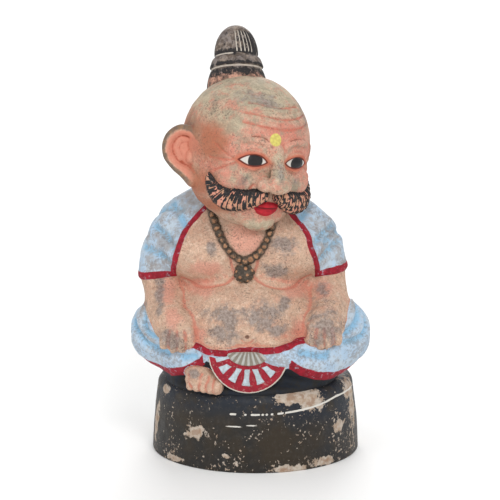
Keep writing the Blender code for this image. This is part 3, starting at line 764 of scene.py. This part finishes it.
ear_rim = [(-1, 0, 9.5, 3.4), (4.5, 0.5, 13.2, 3.5), (11.5, 1, 12.9, 3.7), (17, 1, 8.2, 3.8)]
ear_rim += [(19, 1, 1.2, 3.8), (17, 0.5, -5.8, 3.7), (11.5, 0, -11, 3.6), (4.5, -0.5, -14.8, 4.2)]
ear_rim += [(-2, -2, -18.8, 4.8)]
head_voxel = 0.72
eye_level = -1.0
eye_middle = 15.8
eye_half_width = 8.4
eye_rise = 4.0
eye_drop = 3.0
iris_radius = 4.9
lips_half_width = 9.2
lips_half_height = 5.2
forehead_mark_radius = 4.1
ear_out = 40


def carried(place, corners):
    """Corners moved from a piece's own frame into its place."""
    return corners @ np.array(place.to_3x3()).T + np.array(place.translation)


def ear(side, spread):
    """A cupped ear in its own frame: rim, back, inner fold and lobe, spread this far from the head."""
    outward = Vector((math.sin(spread) * side, math.cos(spread), 0.0))
    up = Vector((0, 0, 1))
    turned = Matrix((outward, outward.cross(up) * -side, up)).transposed().to_4x4()
    place = Matrix.Translation((ear_out * side, -3, -3.5)) @ turned
    rows = [roll(ear_rim, 8), [(8, 3.2, -1, 12, 3.2, 14), (3, 6, -3, 10, 7, 12), (2, -0.5, -3.5, 3, 3, 4.5)]]
    rows += [roll([(5.5, 1.5, 7.5, 1.7), (10.5, 1, 6.5, 1.9), (12.5, 1, 0.5, 2), (9, 0.8, -6, 1.9)], 8)]
    corners, faces = balls(np.vstack(rows))
    if side < 0:
        faces = [face[::-1] for face in faces]
    return carried(place, corners), faces


def both_sides(stations):
    """A path and its mirror image across the middle of the face."""
    path = np.array(stations, float)
    return [path, path * ([-1] + [1] * (path.shape[1] - 1))]


nose = roll([(0, -44, 8, 4), (0, -48, -2, 4.2), (0, -51.5, -10, 5.6)])
nose_tip = [(0, -52.5, -14.5, 7.6, 7, 6.6)]
upper_lip = [(-7.5, -38.5, -31.6, 1.7), (-2.5, -41, -30.6, 2.4), (0, -41, -31, 2.3)]
upper_lip += [(2.5, -41, -30.6, 2.4), (7.5, -38.5, -31.6, 1.7)]
lower_lip = [(-6.5, -38.4, -33.4, 1.7), (0, -39.6, -35.2, 2.9), (6.5, -38.4, -33.4, 1.7)]
chin_and_nostrils = [(0, -30, -42, 12.5, 8.5, 8), (-7, -47, -16, 5, 6, 4.8), (7, -47, -16, 5, 6, 4.8)]
eyeballs = [(-15.5, -37, -1, 8.8, 6.8, 6), (15.5, -37, -1, 8.8, 6.8, 6)]
upper_lid = [(6.5, -43, -1, 1.2), (11, -44.6, 3.6, 1.5), (16, -43.8, 5.0, 1.7), (21, -40.8, 3.6, 1.5)]
upper_lid += [(26, -36, -1.6, 1.2)]
lower_lid = [(7.5, -43, -2.5, 1.0), (15.5, -43, -6.4, 1.2), (24, -37.5, -2.8, 1.0)]
brow = [(6, -44.4, 10, 2), (14, -43, 13.2, 2.4), (24, -37.4, 11.5, 2)]
face_rows = [nose, nose_tip, roll(upper_lip, 8), roll(lower_lip, 8), chin_and_nostrils, eyeballs]
for stations, steps in (upper_lid, 10), (lower_lid, 10), (brow, 8):
    face_rows += [roll(path, steps) for path in both_sides(stations)]
skull, skull_quads = fused([balls(head_masses)], coarse_voxel, coarse_softening, True)
head_parts = [(skull, skull_quads.tolist()), balls(np.vstack(face_rows))]
head_parts += [ear(-1, ear_spread), ear(1, far_ear_spread)]
spots, head_quads = fused(head_parts, head_voxel, 3)
head_tree = BVHTree.FromPolygons(spots.tolist(), head_quads.tolist())
u, v, w = spots.T
front = v < -12


def almond(middle):
    """How far inside a painted eye a point lies: between two arcs that rise and drop from its corners."""
    top = (eye_half_width**2 + eye_rise**2) / (2 * eye_rise)
    low = (eye_half_width**2 + eye_drop**2) / (2 * eye_drop)
    under_top = top - np.hypot(u - middle, w - eye_level - (eye_rise - top))
    over_low = low - np.hypot(u - middle, w - eye_level + (eye_drop - low))
    return np.minimum(under_top, over_low)


eye = np.where(front, np.maximum(almond(-eye_middle), almond(eye_middle)), -9)
from_iris = np.minimum(np.hypot(u + 15.0, w + 0.8), np.hypot(u - 16.6, w + 0.8))
iris = np.where(front, iris_radius - from_iris, -9)
from_lips = np.hypot(u / lips_half_width, (w + 33 - 0.012 * u**2) / lips_half_height)
lips = np.where(front, 1 - from_lips, -9)
mark_place = carried(head_place.inverted(), np.array([[13.0, -53.0, 169.0]]))[0]
forehead_mark = forehead_mark_radius - np.linalg.norm((spots - mark_place) * (1, 0.5, 1), axis=1)

wrinkles = [
    [(-24, -36, 24), (-10, -42, 22), (4, -44, 21.2), (18, -40, 22.5), (31, -31, 25.5)],
    [(-22, -34, 30.5), (-8, -39, 28.6), (5, -41, 27.8), (18, -36, 29), (30, -28, 32)],
    [(-18, -30, 36.5), (-6, -34, 35), (6, -35, 34.5), (20, -29, 36.5)],
]
side_wrinkles = [
    [(27, -35, -1), (31, -31, 2), (35, -25, 6)],
    [(27, -35, -2), (32, -30, -3), (37, -22, -3)],
    [(26, -36, -4), (31, -31, -8), (35, -26, -11)],
    [(8, -47, -13), (12.5, -44, -16), (15, -42, -20)],
]
for line in side_wrinkles:
    wrinkles += both_sides(line)
line_gap = off_paths(spots, head_tree, wrinkles)
brow_gap = off_paths(spots, head_tree, both_sides([(9, -45, 14), (14, -44, 16), (19, -42, 16)]))
mouth_gap = off_paths(spots, head_tree, [[(-7.5, -40, -32.4), (0, -43, -33), (7.5, -40, -32.4)]])
head_relief = 0.5 * np.exp(-(((line_gap - 2.4) / 1.3) ** 2)) - 0.8 * np.exp(-((line_gap / 0.8) ** 2))
head_relief = head_relief - 0.8 * np.exp(-((mouth_gap / 0.9) ** 2)) + 0.07 * uneven(spots, 8, 31)
head_relief += 0.25 * eased(forehead_mark / 0.5 + 0.5)
spots = spots + outward_of(spots, head_quads) * head_relief[:, None]
ear_side = np.abs(u) - 41.5 + 0.1 * np.clip(v, -10, 10)
rim_line = smooth_path([(up, out) for out, _, up, _ in ear_rim])
rim_turn = np.arctan2(rim_line[:, 0] + 1.5, rim_line[:, 1] - 2)
rim_far = np.hypot(rim_line[:, 0] + 1.5, rim_line[:, 1] - 2)
ear_reach = np.zeros(len(spots))
for side, spread in ((-1, ear_spread), (1, far_ear_spread)):
    away = (u - ear_out * side) * side * math.sin(spread) + (v + 3) * math.cos(spread)
    far = np.hypot(w + 5, away - 2) / np.interp(np.arctan2(w + 5, away - 2), rim_turn[::-1], rim_far[::-1])
    ear_reach = np.where(u * side > 0, far, ear_reach)
blush_at = [(-28, -12, 14, 10), (28, -12, 12, 9), (4, 17, 26, 8), (-28, 8, 14, 9)]
blush_at += [(26, 6, 10, 8), (0, -36, 14, 6), (-30, 32, 8, 4)]
# Painted shade: spots behind and under the jaw and at the temples.
jaw_shade_at = [(-38, -24, 7, 14), (-30, -36, 10, 7), (38, -24, 7, 14), (30, -36, 10, 7)]
jaw_shade_at += [(-38, 6, 9, 16), (38, 6, 7, 14)]
rubbed_at = [(-10, 37, 18, 5), (28, 30, 9, 10), (0, -6, 3.5, 9), (-20, -16, 7, 6)]
rubbed_at += [(20, -15, 7, 6), (38, 6, 6, 22)]
chalk_at = [(-8, 40, 34, 12), (-30, 22, 9, 10), (0, -4, 5, 12), (-22, -13, 8, 6)]
chalk_at += [(19, -16, 6, 5), (0, -45, 12, 5)]
head_marks = {
    "eye": eye,
    "iris": iris,
    "lip": lips,
    "yellow": forehead_mark,
    "line": np.minimum(line_gap, 20),
    "brow": np.minimum(brow_gap, 20),
    "mouth": np.minimum(mouth_gap, 20),
    "ear": ear_side,
    "ear_reach": ear_reach,
    # hollow and deep carry the skin paint's painted shade; hollow also places the ear's rust lines.
    "hollow": hollowness(spots, head_quads, 4),
    "deep": mean_round(hollowness(spots, head_quads, 20), head_quads, 3),
    "patina": patch(u, w, rubbed_at) * 0.85 + 0.2 * np.clip((w - 24) / 20, 0, 1),
    "blush": patch(u, w, blush_at) * front,
    "jaw_shade": patch(u, w, jaw_shade_at) * (v > -34),
    "chalk": np.where(front, patch(u, w, chalk_at), np.clip((w - 10) / 30, 0, 1)),
}


def head_finish():
    """The skin paint, with rose in every line, painted shade behind and under the jaw, and the painted eyes,
    brows, lips and forehead mark.
    """
    coat = Finish("painted_head")
    colour = skin_layers(coat, 102.0)
    chalky = coat.plus(coat.mark("chalk"), coat.mottle(7, 6, 0.68, 127), 1.2)
    colour = coat.wash(colour, face_chalk, coat.past(chalky, 1.0, 0.35), 0.8)
    rosy = coat.plus(coat.mottle(9, 9, 0.78, 161), coat.mark("blush"), 0.07)
    colour = coat.wash(colour, face_rose, coat.past(rosy, 0.55, 0.06), 0.6)
    olive = coat.plus(coat.mottle(8, 9, 0.78, 163), coat.mark("chalk"), 0.05)
    colour = coat.wash(colour, face_olive, coat.past(olive, 0.555, 0.05), 0.6)
    # Painted shade: orange-brown behind and under the jaw and at the temples.
    jaw_shade = coat.plus(coat.mark("jaw_shade"), coat.mottle(9, 5, 0.6, 135), 0.8)
    colour = coat.wash(colour, jaw_shade_orange, coat.past(jaw_shade, 0.9, 0.45), 0.85)
    lined = coat.plus(coat.mark("line"), coat.mottle(6, 6, 0.7, 131), 4.5)
    colour = coat.wash(colour, line_rose, coat.short_of(lined, 2.75, 0.9), 0.7)
    colour, worn = rubbed(coat, colour, 123.0, 0.8)
    within_rim = coat.short_of(coat.mark("ear_reach"), 1.0, 0.08)
    in_ear = coat.both(coat.past(coat.mark("ear"), 0.0, 3.0), within_rim)
    colour = coat.wash(colour, ear_rose, in_ear, 0.8)
    ear_line = coat.both(coat.past(coat.mark("ear"), -1.0, 2.0), coat.past(coat.mark("hollow"), 0.16, 0.12))
    colour = coat.wash(colour, ear_rust, ear_line, 0.85)
    outer_ear = coat.past(coat.plus(coat.mark("ear_reach"), coat.mottle(5, 6, 0.7, 133), 0.3), 1.17, 0.05)
    rim = coat.both(coat.past(coat.mark("ear"), 1.0, 3.0), outer_ear)
    colour = coat.wash(colour, coat.clouds(rim_brown, rim_grey, (4, 6, 0.7, 129), 0.5, 0.08), rim, 0.85)
    ringed = coat.both(coat.past(coat.mark("eye"), -2.8, 1.3), coat.short_of(coat.mark("eye"), 0.3, 0.2))
    colour = coat.wash(colour, eye_ring, ringed, 0.8)
    lid = coat.past(coat.mark("eye"), -0.9, 0.25)
    colour = coat.wash(colour, lid_brown, lid, coat.short_of(coat.mark("eye"), 0.25, 0.2))
    colour = coat.over(coat.past(coat.mark("eye"), 0.15, 0.15), colour, eye_white)
    black = coat.both(coat.past(coat.mark("iris"), 0.0, 0.15), coat.past(coat.mark("eye"), 0.0, 0.15))
    colour = coat.over(black, colour, eye_black)
    stroke = coat.short_of(coat.plus(coat.mark("brow"), coat.mottle(2.5, 5, 0.7, 141), 3.2), 2.2, 0.25)
    colour = coat.wash(colour, brow_brown, stroke, 0.75)
    mouth = coat.past(coat.plus(coat.mark("lip"), coat.mottle(4, 4, 0.6, 145), 0.2), 0.13, 0.03)
    colour = coat.over(mouth, colour, coat.clouds(lip_red, lip_dark, (3, 6, 0.7, 165), 0.5, 0.1))
    parting = coat.both(coat.short_of(coat.mark("mouth"), 0.55, 0.3), mouth)
    colour = coat.wash(colour, parting_red, parting, 0.85)
    spot = coat.past(coat.plus(coat.mark("yellow"), coat.mottle(3, 4, 0.6, 147), 0.8), 0.4, 0.12)
    colour = coat.over(spot, colour, coat.clouds(mark_yellow, mark_ochre, (1.8, 5, 0.7, 149), 0.5, 0.1))
    grit = coat.both(coat.mottle(1.0, 5, 0.7, 151), 0.14)
    height = coat.plus(grit, coat.both(coat.mottle(3.6, 6, 0.65, 153), 0.3))
    height = coat.plus(height, coat.both(worn, -0.08))
    roughness = coat.plus(coat.plus(0.58, coat.mottle(6, 5, 0.6, 155), 0.25), black, -0.35)
    return coat.done(colour, roughness, height)


piece("head", carried(head_place, spots), head_quads.tolist(), head_marks, head_finish())


# The moustache: two combed rolls of clay pressed on over the lip, their strands cut with a
# point while wet. They were painted black in strokes, and rubbing has left rose between them.
moustache = [(2, -44.5, -21.5, 3.6), (9, -43, -24.5, 5.4), (18, -38, -28, 7.4), (26, -32, -28, 8)]
moustache += [(32, -27, -24, 6.4), (35.4, -23.5, -18.5, 3.6), (36.6, -21.5, -13.5, 1.4)]
strand_pitch = 3.1
strand_depth = 0.34
strand_black = seen(34, 33, 35)
strand_rose = seen(214, 148, 126)
strand_tan = seen(190, 146, 116)
strand_dust = seen(120, 108, 100)


def along_path(path):
    """The distance travelled from a path's start to each of its points."""
    return np.concatenate([[0], np.cumsum(np.linalg.norm(np.diff(path, axis=0), axis=1))])


def combed_roll(stations, side):
    """A tube along the smooth path: its radius is the path's + strand_depth * waves that slant across it."""
    path = smooth_path(stations, 26) * (side, 1, 1, 1)
    middle, radius = path[:, :3], path[:, 3]
    along = np.gradient(middle, axis=0)
    along /= np.linalg.norm(along, axis=1, keepdims=True)
    ahead = np.cross(along, (0, 0, 1.0))
    ahead /= np.linalg.norm(ahead, axis=1, keepdims=True)
    above = np.cross(ahead, along)
    travelled = along_path(middle)
    turn = np.arange(72) * 2 * np.pi / 72
    sway = 0.25 * np.sin(0.9 * travelled)[:, None] * np.cos(turn + 1)
    sway = sway + 0.2 * np.sin(2.3 * travelled[:, None] + 2 * turn)
    slant = travelled[:, None] / strand_pitch + 1.5 * np.sin(turn + 0.6) + sway
    finer = 1.37 * slant + 0.3 + 0.3 * np.sin(3 * turn)
    strand = np.cos(2 * np.pi * slant) + 0.6 * np.cos(2 * np.pi * finer)
    ends = np.sqrt(np.clip(np.minimum(travelled + 0.3, travelled[-1] - travelled + 0.1) / 2.5, 0.02, 1))
    swell = radius[:, None] * ends[:, None] + strand_depth * strand * np.clip(radius[:, None] / 5, 0, 1)
    outward = np.cos(turn)[:, None] * above[:, None] + np.sin(turn)[:, None] * ahead[:, None]
    rings = middle[:, None] + swell[..., None] * outward
    inner = np.clip(1.35 - travelled / travelled[-1], 0, 1)[:, None]
    upper_band = 1.5 * inner * np.clip(np.cos(turn + 0.2), 0, 1) ** 2
    lower_edge = 1.1 * (1 - inner) * np.clip(-np.cos(turn), 0, 1) ** 3
    return rings, strand, upper_band + lower_edge + 0.5 * (1 - inner)


def moustache_finish():
    """Black strokes on the strands and along the upper edge, worn to rose flesh in between."""
    coat = Finish("painted_moustache")
    flesh = coat.clouds(strand_rose, strand_tan, (5, 5, 0.6, 201), 0.5, 0.12)
    inked = coat.plus(coat.mark("strand"), coat.mottle(3.4, 7, 0.75, 203), 7.5)
    inked = coat.plus(inked, coat.mark("rim"), 1.3)
    colour = coat.over(coat.past(inked, 3.7, 0.2), flesh, strand_black)
    dust = coat.past(coat.mottle(1.5, 5, 0.7, 207), 0.58, 0.06)
    colour = coat.wash(colour, strand_dust, dust, 0.3)
    roughness = coat.plus(0.5, coat.mottle(5, 4, 0.6, 209), 0.3)
    return coat.done(colour, roughness, coat.both(coat.mottle(1, 5, 0.7, 211), 0.16))


moustache_material = moustache_finish()
for side, side_name in ((-1, "right"), (1, "left")):
    rings, strand, inked_edge = combed_roll(moustache, side)
    corners, faces = closed_skin(rings)
    if side < 0:
        faces = [face[::-1] for face in faces]
    ends = np.zeros(2)
    marks = {"strand": np.append(strand.ravel(), ends), "rim": np.append(inked_edge.ravel(), ends)}
    piece("moustache_" + side_name, carried(head_place, corners), faces, marks, moustache_material)


# The topknot: the tuft of hair left on a shaven crown, coiled and bound, modelled as a dome
# on two rolled rings. It was black, with hair lines scratched through to the cream in front.
knot_outline = [(20.8, -8), (20.6, -3), (20, 1), (19, 4.5), (17.9, 7.4), (16.7, 8.8), (18.2, 10.2)]
knot_outline += [(17.6, 12.5), (16.4, 15.6), (14.6, 17.6), (14.9, 19), (14.8, 22), (14, 26), (12.2, 31)]
knot_outline += [(9.2, 35.4), (5, 38.6), (1.2, 39.6)]
hair_line_pitch = 0.19
hair_line_cut = 0.6
knot_grey = seen(130, 121, 118)
knot_beige = seen(148, 133, 120)
knot_rose = seen(214, 158, 134)
knot_brown = seen(80, 67, 59)
knot_black = seen(40, 37, 38)
knot_cream = seen(206, 196, 184)
knot_place = head_place @ Matrix.Translation((-3.2, 20, 42)) @ Matrix.Rotation(math.radians(-20), 4, "X")
outline = smooth_path(knot_outline, 10)
knot_turn = np.linspace(-np.pi, np.pi, 220, endpoint=False)
hair_column = np.tile(knot_turn, (len(outline), 1))
climb = outline[:, 1][:, None] + 0 * hair_column
dome = eased((climb - 18) / 1.5) * eased((35.5 - climb) / 3)
combed = hair_column + 0.006 * (climb - 18) + 0.05
in_front = eased((0.52 - np.abs(combed)) / 0.1)
cut = dome * in_front * np.clip(np.cos(2 * np.pi * combed / hair_line_pitch), 0, 1) ** 1.5
combing = 0.1 * np.cos(26 * hair_column + 0.25 * climb) * eased((climb - 19) / 3)
knot_radius = outline[:, 0][:, None] - hair_line_cut * cut + combing
knot_rings = np.stack([knot_radius * np.sin(hair_column), -knot_radius * np.cos(hair_column), climb], axis=-1)
knot_corners, knot_faces = closed_skin(knot_rings)
on_left = eased((-0.5 - hair_column) / 0.2) * eased((hair_column + 2.0) / 0.3)
groove = np.maximum(np.exp(-(((climb - 17.7) / 0.7) ** 2)) * on_left, np.exp(-(((climb - 8.9) / 0.7) ** 2)))
black_left = np.exp(-(((hair_column - 0.35) / 0.75) ** 2))
black_left = black_left * eased((climb - 17.6) / 1.2) * eased((36 - climb) / 5)
for dark, height, reach in (0.95, 19.2, 2.4), (0.8, 10.8, 1.4), (0.75, 4.5, 3.4):
    black_left = np.maximum(black_left, dark * np.exp(-(((climb - height) / reach) ** 2)))
black_left = np.maximum(black_left, 0.7 * (np.cos(hair_column) < -0.2))
knot_marks = {
    "cut": np.append(cut.ravel(), [0, 0]),
    "groove": np.append(groove.ravel(), [0, 0]),
    "black": np.append(black_left.ravel(), [0, 0]),
    "climb": np.append(climb.ravel(), [-8, 40]),
}


def knot_finish():
    """Grey-beige ground, the remains of black paint, cream in the scratched lines, rose at the foot."""
    coat = Finish("painted_topknot")
    colour = coat.clouds(knot_grey, knot_beige, (8, 6, 0.65, 301), 0.5, 0.12)
    foot_rose = coat.short_of(coat.plus(coat.mark("climb"), coat.mottle(5, 5, 0.6, 303), -8.0), 0.0, 2.8)
    colour = coat.wash(colour, knot_rose, foot_rose, 0.8)
    stain_and_shadow = coat.past(coat.mottle(4, 8, 0.78, 313), 0.5, 0.07)
    colour = coat.wash(colour, knot_brown, stain_and_shadow, 0.85)
    ragged = coat.plus(coat.mark("black"), coat.plus(-0.5, coat.mottle(4.0, 9, 0.8, 305)), 4.8)
    ink = coat.past(ragged, 0.5, 0.12)
    colour = coat.over(ink, colour, knot_black)
    scratched = coat.most(coat.mark("cut"), coat.both(coat.mark("groove"), 0.8))
    scratched = coat.past(coat.plus(scratched, coat.mottle(4, 4, 0.6, 307), -0.7), 0.12, 0.1)
    colour = coat.wash(colour, knot_cream, scratched, 0.9)
    height = coat.plus(coat.both(ink, 0.12), coat.both(coat.mottle(1.2, 6, 0.7, 309), 0.3))
    return coat.done(colour, coat.plus(0.55, coat.mottle(5, 5, 0.6, 311), 0.3), height)


piece("topknot", carried(knot_place, knot_corners), knot_faces, knot_marks, knot_finish())


# The necklace: round seed beads and one large knobbed seed, rolled from clay and pressed in
# a row on the chest. They are painted brown, with painted shade laid near-black on each bead away from its
# crown and between the seed's knobs.
bead_size = 3.0
pendant_size = 6.9
bead_step = 1.42
pendant_place = (-7.6, 76.8)
pendant_depth = 1.0
knob_reach = 0.27
bead_brown = seen(150, 106, 76)
bead_ochre = seen(176, 130, 96)
bead_shade = seen(62, 54, 46)
bead_shade_dull = seen(92, 80, 68)


def skin_at(x, z):
    """Where a straight line from the front first meets the skin, or None."""
    return tree.ray_cast((x, -150.0, z), (0.0, 1.0, 0.0))[0]


def bead_rows():
    """Bead middles at even steps along the string, each set on the skin with a little sway."""
    line = smooth_path([(x, 0.0, z) for x, z in string], 30)
    travelled = along_path(line)
    steps = np.arange(2.0, travelled[-1], bead_size * bead_step)
    across, up = [np.interp(steps, travelled, line[:, axis]).tolist() for axis in (0, 2)]
    rows = []
    for number, (x, z) in enumerate(zip(across, up)):
        found = skin_at(x, z)
        size = bead_size * (0.94 + 0.1 * math.sin(7 * number))
        rows.append((x, found.y - 0.7 if found else -30.0, z, size, size * 0.9, size))
    return rows


def round_beads(rows):
    """All beads as balls on a finer grid, each with a mark that is 1 on its crown and 0 between beads."""
    unit, faces = unit_ball(21, 32)
    rows = np.array(rows)
    lumpy = 1 + 0.03 * uneven(unit * 3, 4, 41)
    corners = rows[:, None, :3] + rows[:, None, 3:] * unit * lumpy[None, :, None]
    crown = np.tile(-unit[:, 1], len(rows))
    return corners.reshape(-1, 3), copied(faces, len(unit), len(rows)), crown


def seed_pendant(middle):
    """A ball whose radius grows by rounded knobs round evenly spread directions."""
    count = 24
    spiral = np.arange(count) + 0.5
    lift = 1 - 2 * spiral / count
    swing = spiral * np.pi * (3 - math.sqrt(5))
    level_radius = np.sqrt(1 - lift**2)
    knobs = np.column_stack([level_radius * np.cos(swing), lift, level_radius * np.sin(swing)])
    unit, faces = unit_ball(91, 160)
    near = np.max(unit @ knobs.T, axis=1)
    knob = eased((near - math.cos(knob_reach)) / (1 - math.cos(knob_reach)))
    half_widths = (pendant_size * 0.93, pendant_size * 0.72, pendant_size * 0.93)
    return (1 + 0.16 * knob)[:, None] * unit * half_widths + middle, faces, knob


def bead_finish():
    """Ochre-brown crowns, near-black painted shade away from them, with a slight rub."""
    coat = Finish("painted_beads")
    brown = coat.clouds(bead_brown, bead_ochre, (2.5, 5, 0.65, 401), 0.5, 0.1)
    dark = coat.clouds(bead_shade, bead_shade_dull, (3, 6, 0.7, 409), 0.5, 0.1)
    high = coat.plus(coat.mark("crown"), coat.mottle(3.6, 7, 0.8, 403), 2.2)
    # Painted shade: near-black wherever a bead turns from the front, and between the seed's knobs.
    colour = coat.over(coat.past(high, 1.98, 0.14), dark, brown)
    roughness = coat.plus(0.45, coat.mottle(3, 4, 0.6, 405), 0.3)
    return coat.done(colour, roughness, coat.both(coat.mottle(0.9, 5, 0.7, 407), 0.2))


bead_material = bead_finish()
bead_corners, bead_faces, bead_crown = round_beads(bead_rows())
piece("necklace_beads", bead_corners, bead_faces, {"crown": bead_crown}, bead_material)
hung = skin_at(*pendant_place)
seed_middle = np.array([pendant_place[0], hung.y - pendant_depth, pendant_place[1]])
seed_corners, seed_faces, seed_knob = seed_pendant(seed_middle)
piece("seed_pendant", seed_corners, seed_faces, {"crown": 0.1 + 0.95 * seed_knob}, bead_material)


# The fan of pleats: the gathered front of the waist cloth, which falls over the plinth's edge.
# It is a half-round plate pressed on under the belly, with raised slats between crimson gaps,
# a crimson border, a pale rim and a small fan of pleats at its top.
fan_middle = (-4.6, -61.3, 27.2)
fan_radius = 26.6
fan_border = 22.2
slat_top = 22.0
fan_slope = math.radians(-11.0)
slat_spread = math.radians(26.4)
slat_lean = math.radians(4.5)
pleat_size = (14.0, 8.6)
arc_size = (19.0, 10.6)
fan_crimson = seen(136, 22, 38)
slat_chalk = seen(192, 206, 214)
slat_grey = seen(168, 180, 186)
pleat_shade = seen(138, 130, 118)
pleat_pale = seen(178, 178, 172)
fan_rim = seen(198, 190, 178)
fan_rubbed = seen(176, 150, 140)


def oval(across, up, size):
    """How far inside an oval a point lies, in mm, near enough: positive inside."""
    return (1 - np.hypot(across / size[0], up / size[1])) * size[1]


def fan_piece():
    """A plate over distance from the middle and angle: out over its front, round its rim and back behind."""
    out_front = np.linspace(0.03, 1, 120) * fan_radius
    out = np.concatenate([out_front, fan_radius * np.array([1.012, 1.012, 1.0, 0.9, 0.6, 0.3])])
    depth = np.concatenate([np.zeros(120), [0.9, 2.2, 3.4, 6, 9, 10]])
    reach, swing = np.meshgrid(out, np.arange(400) * 2 * np.pi / 400, indexing="ij")
    behind = np.broadcast_to(depth[:, None], reach.shape)
    squash = np.where(np.sin(swing) > 0, 0.02, 1.0)
    across, up = reach * np.cos(swing), reach * np.sin(swing) * squash
    from_down = np.arctan2(across, -np.minimum(up, -0.01)) + slat_lean
    slat_place = np.clip(np.round(from_down / slat_spread), -2, 2) * slat_spread
    beside_slat = np.abs(from_down - slat_place) * reach
    slat_half = 1.8 + 0.1 * (reach - 12) - 0.5 * np.sin(np.pi * np.clip((reach - 12) / 10, 0, 1))
    pleat, arc_edge = oval(across, up, pleat_size), oval(across, up, arc_size)
    slat = np.minimum(np.minimum(slat_half - beside_slat, -arc_edge - 0.3), slat_top - reach)
    wedge = np.minimum((np.abs(from_down) - 2.62 * slat_spread) * reach, fan_border - reach)
    above = np.minimum(up + 3.4 + 0.06 * (across + 3), -pleat)
    pale = np.maximum(np.maximum(slat, wedge), above)
    rim = reach - (fan_radius - 0.7)
    rib = np.cos(25 * np.arctan2(across, 8 - up))
    raised = 0.9 * eased(slat + 0.4) + 0.3 * eased(wedge + 0.4) + 0.4 * eased((reach - fan_border) / 0.8)
    raised += eased(pleat / 1.2 + 0.4) * (1.3 + 0.45 * rib)
    face = behind - raised * (behind == 0) * eased((0.4 - up) / 1.2) + 0.002 * reach**1.9
    corners, faces = closed_skin(np.stack([across, face, up], axis=-1))
    marks = {"pale": pale, "rim": rim, "pleat": pleat, "rib": rib}
    ends = [0.0, -5.0]
    marks = {key: np.append(values.ravel(), ends) for key, values in marks.items()}
    place = Matrix.Translation(fan_middle) @ Matrix.Rotation(fan_slope, 4, "X")
    return carried(place, corners), faces, marks


def fan_finish():
    """Crimson ground, whitish blue slats, grey-white pleats with painted shade in their grooves, and a cream
    rim, all rubbed.
    """
    coat = Finish("painted_fan")
    red = coat.clouds(border_red, fan_crimson, (3.5, 6, 0.7, 501), 0.5, 0.1)
    chalk = coat.clouds(slat_chalk, slat_grey, (4, 6, 0.7, 503), 0.5, 0.12)
    ribbed = coat.plus(coat.mark("rib"), coat.mottle(3, 6, 0.7, 505), 1.6)
    # Painted shade: the pleats darker in the grooves between their ribs, paler on the ribs.
    grey = coat.over(coat.past(ribbed, 0.9, 0.5), pleat_shade, pleat_pale)
    ragged = coat.mottle(2.6, 4, 0.6, 507)
    colour = coat.over(coat.past(coat.plus(coat.mark("pale"), ragged, 0.8), 0.4, 0.1), red, chalk)
    colour = coat.over(coat.past(coat.plus(coat.mark("pleat"), ragged, 0.8), 0.4, 0.12), colour, grey)
    colour = coat.over(coat.past(coat.plus(coat.mark("rim"), ragged, 1.2), 0.8, 0.12), colour, fan_rim)
    rub = coat.past(coat.mottle(2.4, 7, 0.74, 509), 0.6, 0.04)
    colour = coat.wash(colour, fan_rubbed, rub, 0.5)
    roughness = coat.plus(0.5, coat.mottle(5, 5, 0.6, 511), 0.3)
    return coat.done(colour, roughness, coat.both(coat.mottle(1.2, 5, 0.7, 513), 0.25))


fan_corners, fan_faces, fan_marks = fan_piece()
piece("pleated_fan", fan_corners, fan_faces, fan_marks, fan_finish())


# The stand-in for a photographer's table: a pale floor under a pale sky, a soft key light in
# front, a weak fill on the left, one light behind and a large one beyond it that whitens the
# far floor, and a long lens that looks down a little on the figure.
floor_half = 6.0
paper_white = seen(248, 248, 247)
paper_roughness = 0.9
sky_strength = 0.66
lit_middle = (0, 0, 0.15)
lens_length = 157.3
sensor_width = 36.0
camera_place = (0.0, -1.4749, 0.4233)
camera_aim = (-0.0038, 0.0, 0.1382)
lamps = [
    ("key", (0.35, -1.4, 1.3), 13.0, 0.6),
    ("fill", (-1.1, -1.1, 0.7), 4.0, 1.1),
    ("back", (0.2, 1.5, 1.6), 9.0, 1.2),
    ("far", (0.0, 5.6, 3.0), 130.0, 3.0),
]


def turned_to(place, target):
    """The turn that points an object's -Z from its place to a target."""
    return (Vector(target) - Vector(place)).to_track_quat("-Z", "Y").to_euler()


def studio():
    """The floor, the sky, the lamps and the camera."""
    mesh = bpy.data.meshes.new("floor")
    corners = [(-floor_half, -floor_half, 0), (floor_half, -floor_half, 0)]
    corners += [(floor_half, floor_half, 0), (-floor_half, floor_half, 0)]
    mesh.from_pydata(corners, [], [(0, 1, 2, 3)])
    floor = bpy.data.objects.new("floor", mesh)
    bpy.context.scene.collection.objects.link(floor)
    paper = Finish("pale_paper")
    paper.shader.inputs["Base Color"].default_value = paper_white
    paper.shader.inputs["Roughness"].default_value = paper_roughness
    mesh.materials.append(paper.material)
    world = bpy.data.worlds.new("sky")
    bpy.context.scene.world = world
    world.use_nodes = True
    sky = world.node_tree.nodes["Background"]
    sky.inputs["Color"].default_value = (1.0, 1.0, 1.0, 1.0)
    sky.inputs["Strength"].default_value = sky_strength
    for name, place, power, size in lamps:
        lamp = bpy.data.lights.new(name, "AREA")
        lamp.energy = power
        lamp.size = size
        light = bpy.data.objects.new(name, lamp)
        light.location = place
        light.rotation_euler = turned_to(place, lit_middle)
        bpy.context.scene.collection.objects.link(light)
    lens = bpy.data.cameras.new("camera")
    lens.lens = lens_length
    lens.sensor_width = sensor_width
    camera = bpy.data.objects.new("camera", lens)
    camera.location = camera_place
    camera.rotation_euler = turned_to(camera_place, camera_aim)
    bpy.context.scene.collection.objects.link(camera)
    bpy.context.scene.camera = camera
    bpy.context.scene.view_settings.view_transform = "Standard"


studio()
